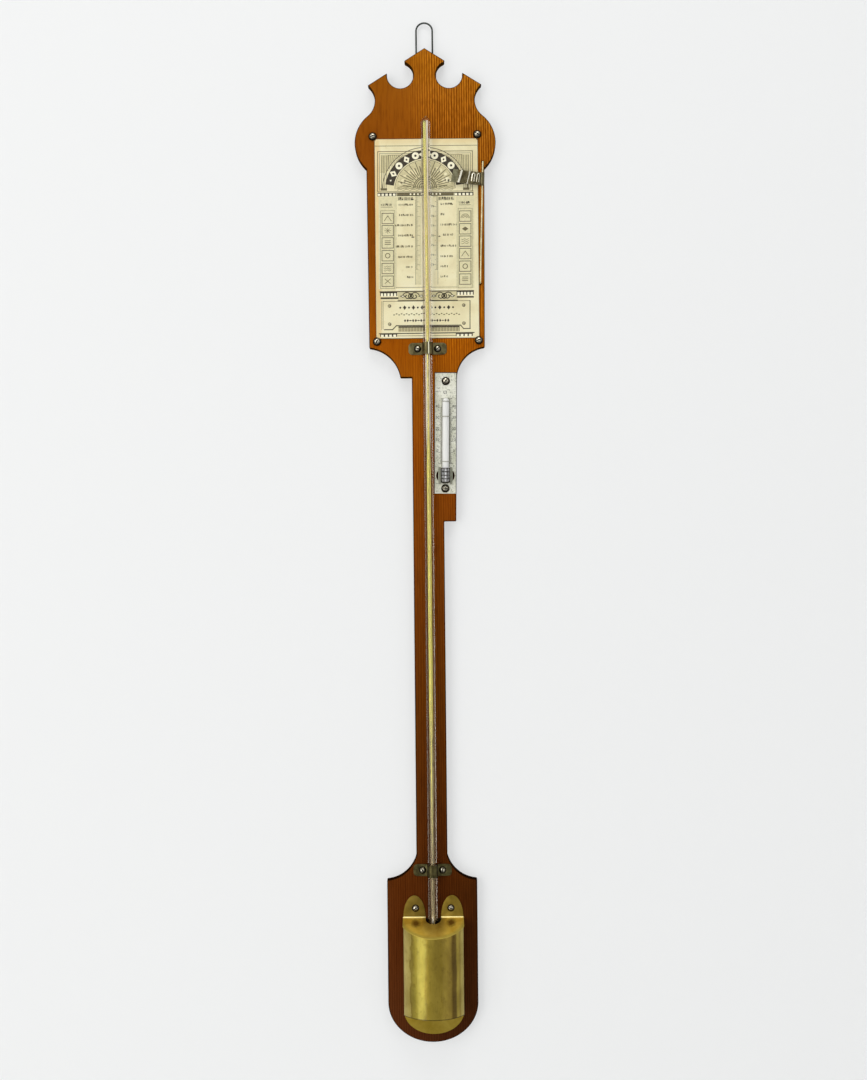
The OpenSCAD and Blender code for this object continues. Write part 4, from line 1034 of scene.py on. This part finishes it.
def shell():
    """The cover's wall: thin sheet, with the small dents of hand work pressed inwards."""
    plan = cover_plan()
    last, rows = len(plan) - 1, 56

    def place(j, i, side):
        p = plan[j]
        along = (plan[min(j + 1, last)] - plan[max(j - 1, 0)]).normalized()
        inward = Vector((-along.y, along.x))
        if inward.dot(Vector((COVER_X, FACE_Y)) - p) < 0:
            inward = -inward
        roof_z = FOLD_Z - ROOF_RISE + (p.y - FACE_Y) * ROOF_SLOPE
        z = FLOOR_Z + (roof_z - FLOOR_Z) * i / rows
        dent = 0.5 + 0.5 * noise.noise(Vector((p.x / 14, p.y / 30, z / 26)))
        dent += 0.35 * noise.noise(Vector((p.x / 5, 7.0, z / 7)))
        free = min(min(j, last - j) / 8, 1.0)
        q = p + inward * (side * COVER_SHEET + free * DENT_DEPTH * max(dent, 0))
        return (q.x * MM, q.y * MM, z * MM)

    bm = bmesh.new()
    thin_sheet(bm, last, rows, place)
    settle("cover_wall", bm, ["cover_brass"], 50, "board", "cover_brass", "cistern_shell")


shell()
softened("cover_roof", "cistern_roof", 0.35, 20)
softened("cover_back", "cistern_backplate", 0.25, paint="back_brass")
softened("clip_upper", "upper_tube_clip", 0.22, 35)
softened("clip_lower", "lower_tube_clip", 0.22, 35)


# Thermometer

DEGREE = 1.15
TOP_MARK = -36.5
LINE_TOP = -27.2
LINE_FOOT = -97
ticks = Print("thermometer_marks", "marks", PLATE_Y, 0.05, on_therm)
for x, way in ((-3.7, -1), (3.9, 1)):
    ticks.line([(x, LINE_TOP), (x, LINE_FOOT)], 0.5)
    for step in range(51):
        z = TOP_MARK - step * DEGREE
        ticks.line([(x, z), (x + way * tick(step, 3.6), z)], 0.36)
ticks.line([(-4.6, LINE_TOP), (6.2, LINE_TOP)], 0.45)
for number in range(0, 41, 10):
    for x in (-8.4, 8.6):
        ticks.text(str(number), 4.1, *on_therm(x, TOP_MARK - (40 - number) * DEGREE + 1.6), THERM_LEAN)
ticks.ring(-0.6, -20.6, 1.3, 1.75, 0, 360, 20)
ticks.line([(-11.3, -0.3), (11.1, -0.3), (11.1, -124.5)], 0.7)
ticks.line([(-11.2, -0.3), (-11.2, -124.5)], 0.5)
ticks.done("scale_metal")


# Index leaf: a sheet with a slanted crease, a slanted rib and two pressed domes beside its eye

LEAF_START = 1.83
LEAF_REACH = 32.6
LEAF_HEIGHT = 13.2
LEAF_SHEET = 0.4
LEAF_DROP = 18.9
LEAF_TILT = radians(6.5)
EYE_RADII = (2.08, 1.58)
# Each crease has its place, its slant, half its width and its height; each dome its place, radius and height
CREASES = ((23.8, -0.1, 1.4, 0.75), (14.8, -0.05, 0.8, 0.6))
DOMES = ((4.6, 1.9, 1.45), (9.8, 2.1, 1.45))


def off_crease(u, v, at, slant, half_wide):
    """How far a place on the leaf is from a crease's line, as a part of its half width."""
    return (u - at - slant * v) / half_wide


def off_dome(u, v, at, radius):
    """How far a place on the leaf is from a dome's long middle, as a part of its radius."""
    beyond = max(abs(v) - (LEAF_HEIGHT / 2 - 0.9 - radius), 0)
    return hypot(u - at, beyond) / radius


def worn_bright(u, v):
    """Where the leaf is painted with highlights: along the creases and round the domes' rims, except at
    their lowest parts.
    """
    if any(-0.95 < off_crease(u, v, *crease[:3]) < 0.35 for crease in CREASES):
        return True
    return v > -3.6 and any(0.5 < off_dome(u, v, *dome[:2]) < 1.0 for dome in DOMES)


def relief(u, v):
    """How far the sheet stands forward at u from the rod and v up from its middle."""
    out = 0.0
    for *crease, tall in CREASES:
        out = max(out, tall * cos(min(abs(off_crease(u, v, *crease)), 1) * pi / 2))
    for *dome, tall in DOMES:
        out = max(out, tall * sqrt(1 - min(off_dome(u, v, *dome), 1) ** 2))
    return out + 0.25 * max(0, (u - 22.5) / 10) ** 2


def index_leaf():
    cols, rows = 150, 50
    lean = Matrix.Rotation(ROD_LEAN, 3, "Y")
    tip = Matrix.Rotation(LEAF_TILT, 3, "Y")

    def place(i, j, side):
        v = LEAF_HEIGHT * (j / rows - 0.5)
        end = LEAF_REACH - 1.2 - v / LEAF_HEIGHT
        u = LEAF_START + (end - LEAF_START) * i / cols
        local = tip @ Vector((LEAF_START - u, (side - 0.5) * LEAF_SHEET - relief(u, v), v))
        return (ROD_TOP + lean @ (local + Vector((-LEAF_START, 0, -LEAF_DROP)))) * MM

    bm = bmesh.new()
    for (i, j), face in thin_sheet(bm, cols, rows, place).items():
        u = LEAF_START + (LEAF_REACH - 0.7 - LEAF_START) * (i + 0.5) / cols
        # Faces under a painted highlight take the bright paint
        if worn_bright(u, LEAF_HEIGHT * ((j + 0.5) / rows - 0.5)):
            face.material_index = 1
    settle("index_leaf_sheet", bm, ["index_brass", "index_highlight"], 40, "index_leaf", "index_brass",
           "index_pointer")

    # The eye that turns round the sleeve
    low_end, high_end = ((lean @ Vector((0, 0, z - LEAF_DROP)) + ROD_TOP) * MM
                         for z in (-LEAF_HEIGHT / 2, LEAF_HEIGHT / 2))
    outside, inside = EYE_RADII
    a, b = lean @ Vector((1, 0, 0)), Vector((0, 1, 0))
    bm = bmesh.new()
    ends = ((low_end, outside), (high_end, outside), (high_end, inside), (low_end, inside))
    circles = swept(bm, [(end, a, b, radius * MM) for end, radius in ends], 32)
    join_rows(bm, circles[-1], circles[0])
    settle("index_eye", bm, ["index_brass"], 50, "index_leaf", "index_brass")


index_leaf()


# The frame's own pieces keep their shapes and get their finishes

OWN_PAINT = {"thermometer_tube": "therm_glass", "thermometer_liquid": "therm_mercury",
             "thermometer_staples": "staple"}
for name, obj in frame["nodes"].items():
    obj.data.materials.clear()
    obj.data.materials.append(PAINTS[OWN_PAINT.get(name, SLOT_OF[name])].material)
    obj.data.polygons.foreach_set("use_smooth", [True] * len(obj.data.polygons))


# Stage, light and camera

WALL_Y = 0.0012
FLOOR = -2.4
STAGE_TONE = srgb(240, 241, 241)
MIDDLE = Vector((0.0, 0.0, -0.53))


def one_sided(name, color):
    """A pale matt surface that is seen from its front only, so that views from behind look through it."""
    p = Paint(name, color, Roughness=0.9, Specular_IOR_Level=0.1)
    near = p.math("LESS_THAN", p.node("LightPath").outputs["Ray Length"], 0.012)
    through = p.math("MAXIMUM", p.node("NewGeometry").outputs["Backfacing"], near)
    tone = p.node("MixShader", {0: p.math("MULTIPLY", p.seen(), 0.6), 1: p.shader.outputs[0],
                                2: p.node("Emission", {0: color}).outputs[0]})
    clear = p.node("BsdfTransparent").outputs[0]
    surface = p.node("MixShader", {0: through, 1: tone.outputs[0], 2: clear})
    p.put(p.tree.nodes["Material Output"].inputs[0], surface.outputs[0])
    return p


def flat_stage(name, corners):
    mesh = bpy.data.meshes.new(name)
    mesh.from_pydata(corners, [], [(0, 1, 2, 3)])
    mesh.materials.append(one_sided(name, STAGE_TONE).material)
    new_object(name, mesh)


flat_stage("wall", [(-4, WALL_Y, FLOOR), (4, WALL_Y, FLOOR), (4, WALL_Y, 3), (-4, WALL_Y, 3)])
flat_stage("floor", [(-4, -5, FLOOR), (4, -5, FLOOR), (4, WALL_Y, FLOOR), (-4, WALL_Y, FLOOR)])


def area_light(name, place, width, height, power, color=(1, 1, 1)):
    """A light that the camera doesn't see, aimed at the part's middle."""
    data = bpy.data.lights.new(name, "AREA")
    data.shape, data.size, data.size_y = "RECTANGLE", width, height
    data.energy, data.color = power, color
    obj = new_object(name, data)
    obj.location = place
    obj.rotation_euler = (MIDDLE - Vector(place)).to_track_quat("-Z", "Y").to_euler()
    obj.visible_camera = False


area_light("key", (-1.65, -1.95, -0.5), 1.5, 3.4, 37, (1.0, 0.99, 0.97))
area_light("top", (0.1, -1.5, 1.7), 1.6, 1.0, 21)
area_light("fill", (1.9, -1.9, -0.7), 1.5, 2.6, 6)
area_light("rear", (0.0, 4.0, -0.2), 0.8, 0.8, 20)


def studio():
    """A sky that is even and pale where it is seen, and lights matt surfaces most from the far right."""
    world = bpy.data.worlds.new("studio")
    scene.world = world
    world.use_nodes = True
    world.node_tree.nodes.clear()
    n = Nodes(world.node_tree, "Generated")
    room = n.ramp(n.axis("X", -1, 1, 1), (0.0, 0.54), (0.3, 0.36), (0.6, 0.42), (0.85, 0.24), (1.0, 1.0))
    sky = n.node("Background", {0: n.mix(n.seen(), room, srgb(234, 235, 236))})
    n.node("OutputWorld", {0: sky.outputs[0]})


studio()

camera = new_object("camera", bpy.data.cameras.new("camera"))
camera.data.lens, camera.data.sensor_width = 49.0, 36.0
camera.location = (0.0047, -1.525, -0.5346)
camera.rotation_euler = (pi / 2, radians(0.55), 0)
scene.camera = camera
scene.view_settings.view_transform = "Standard"
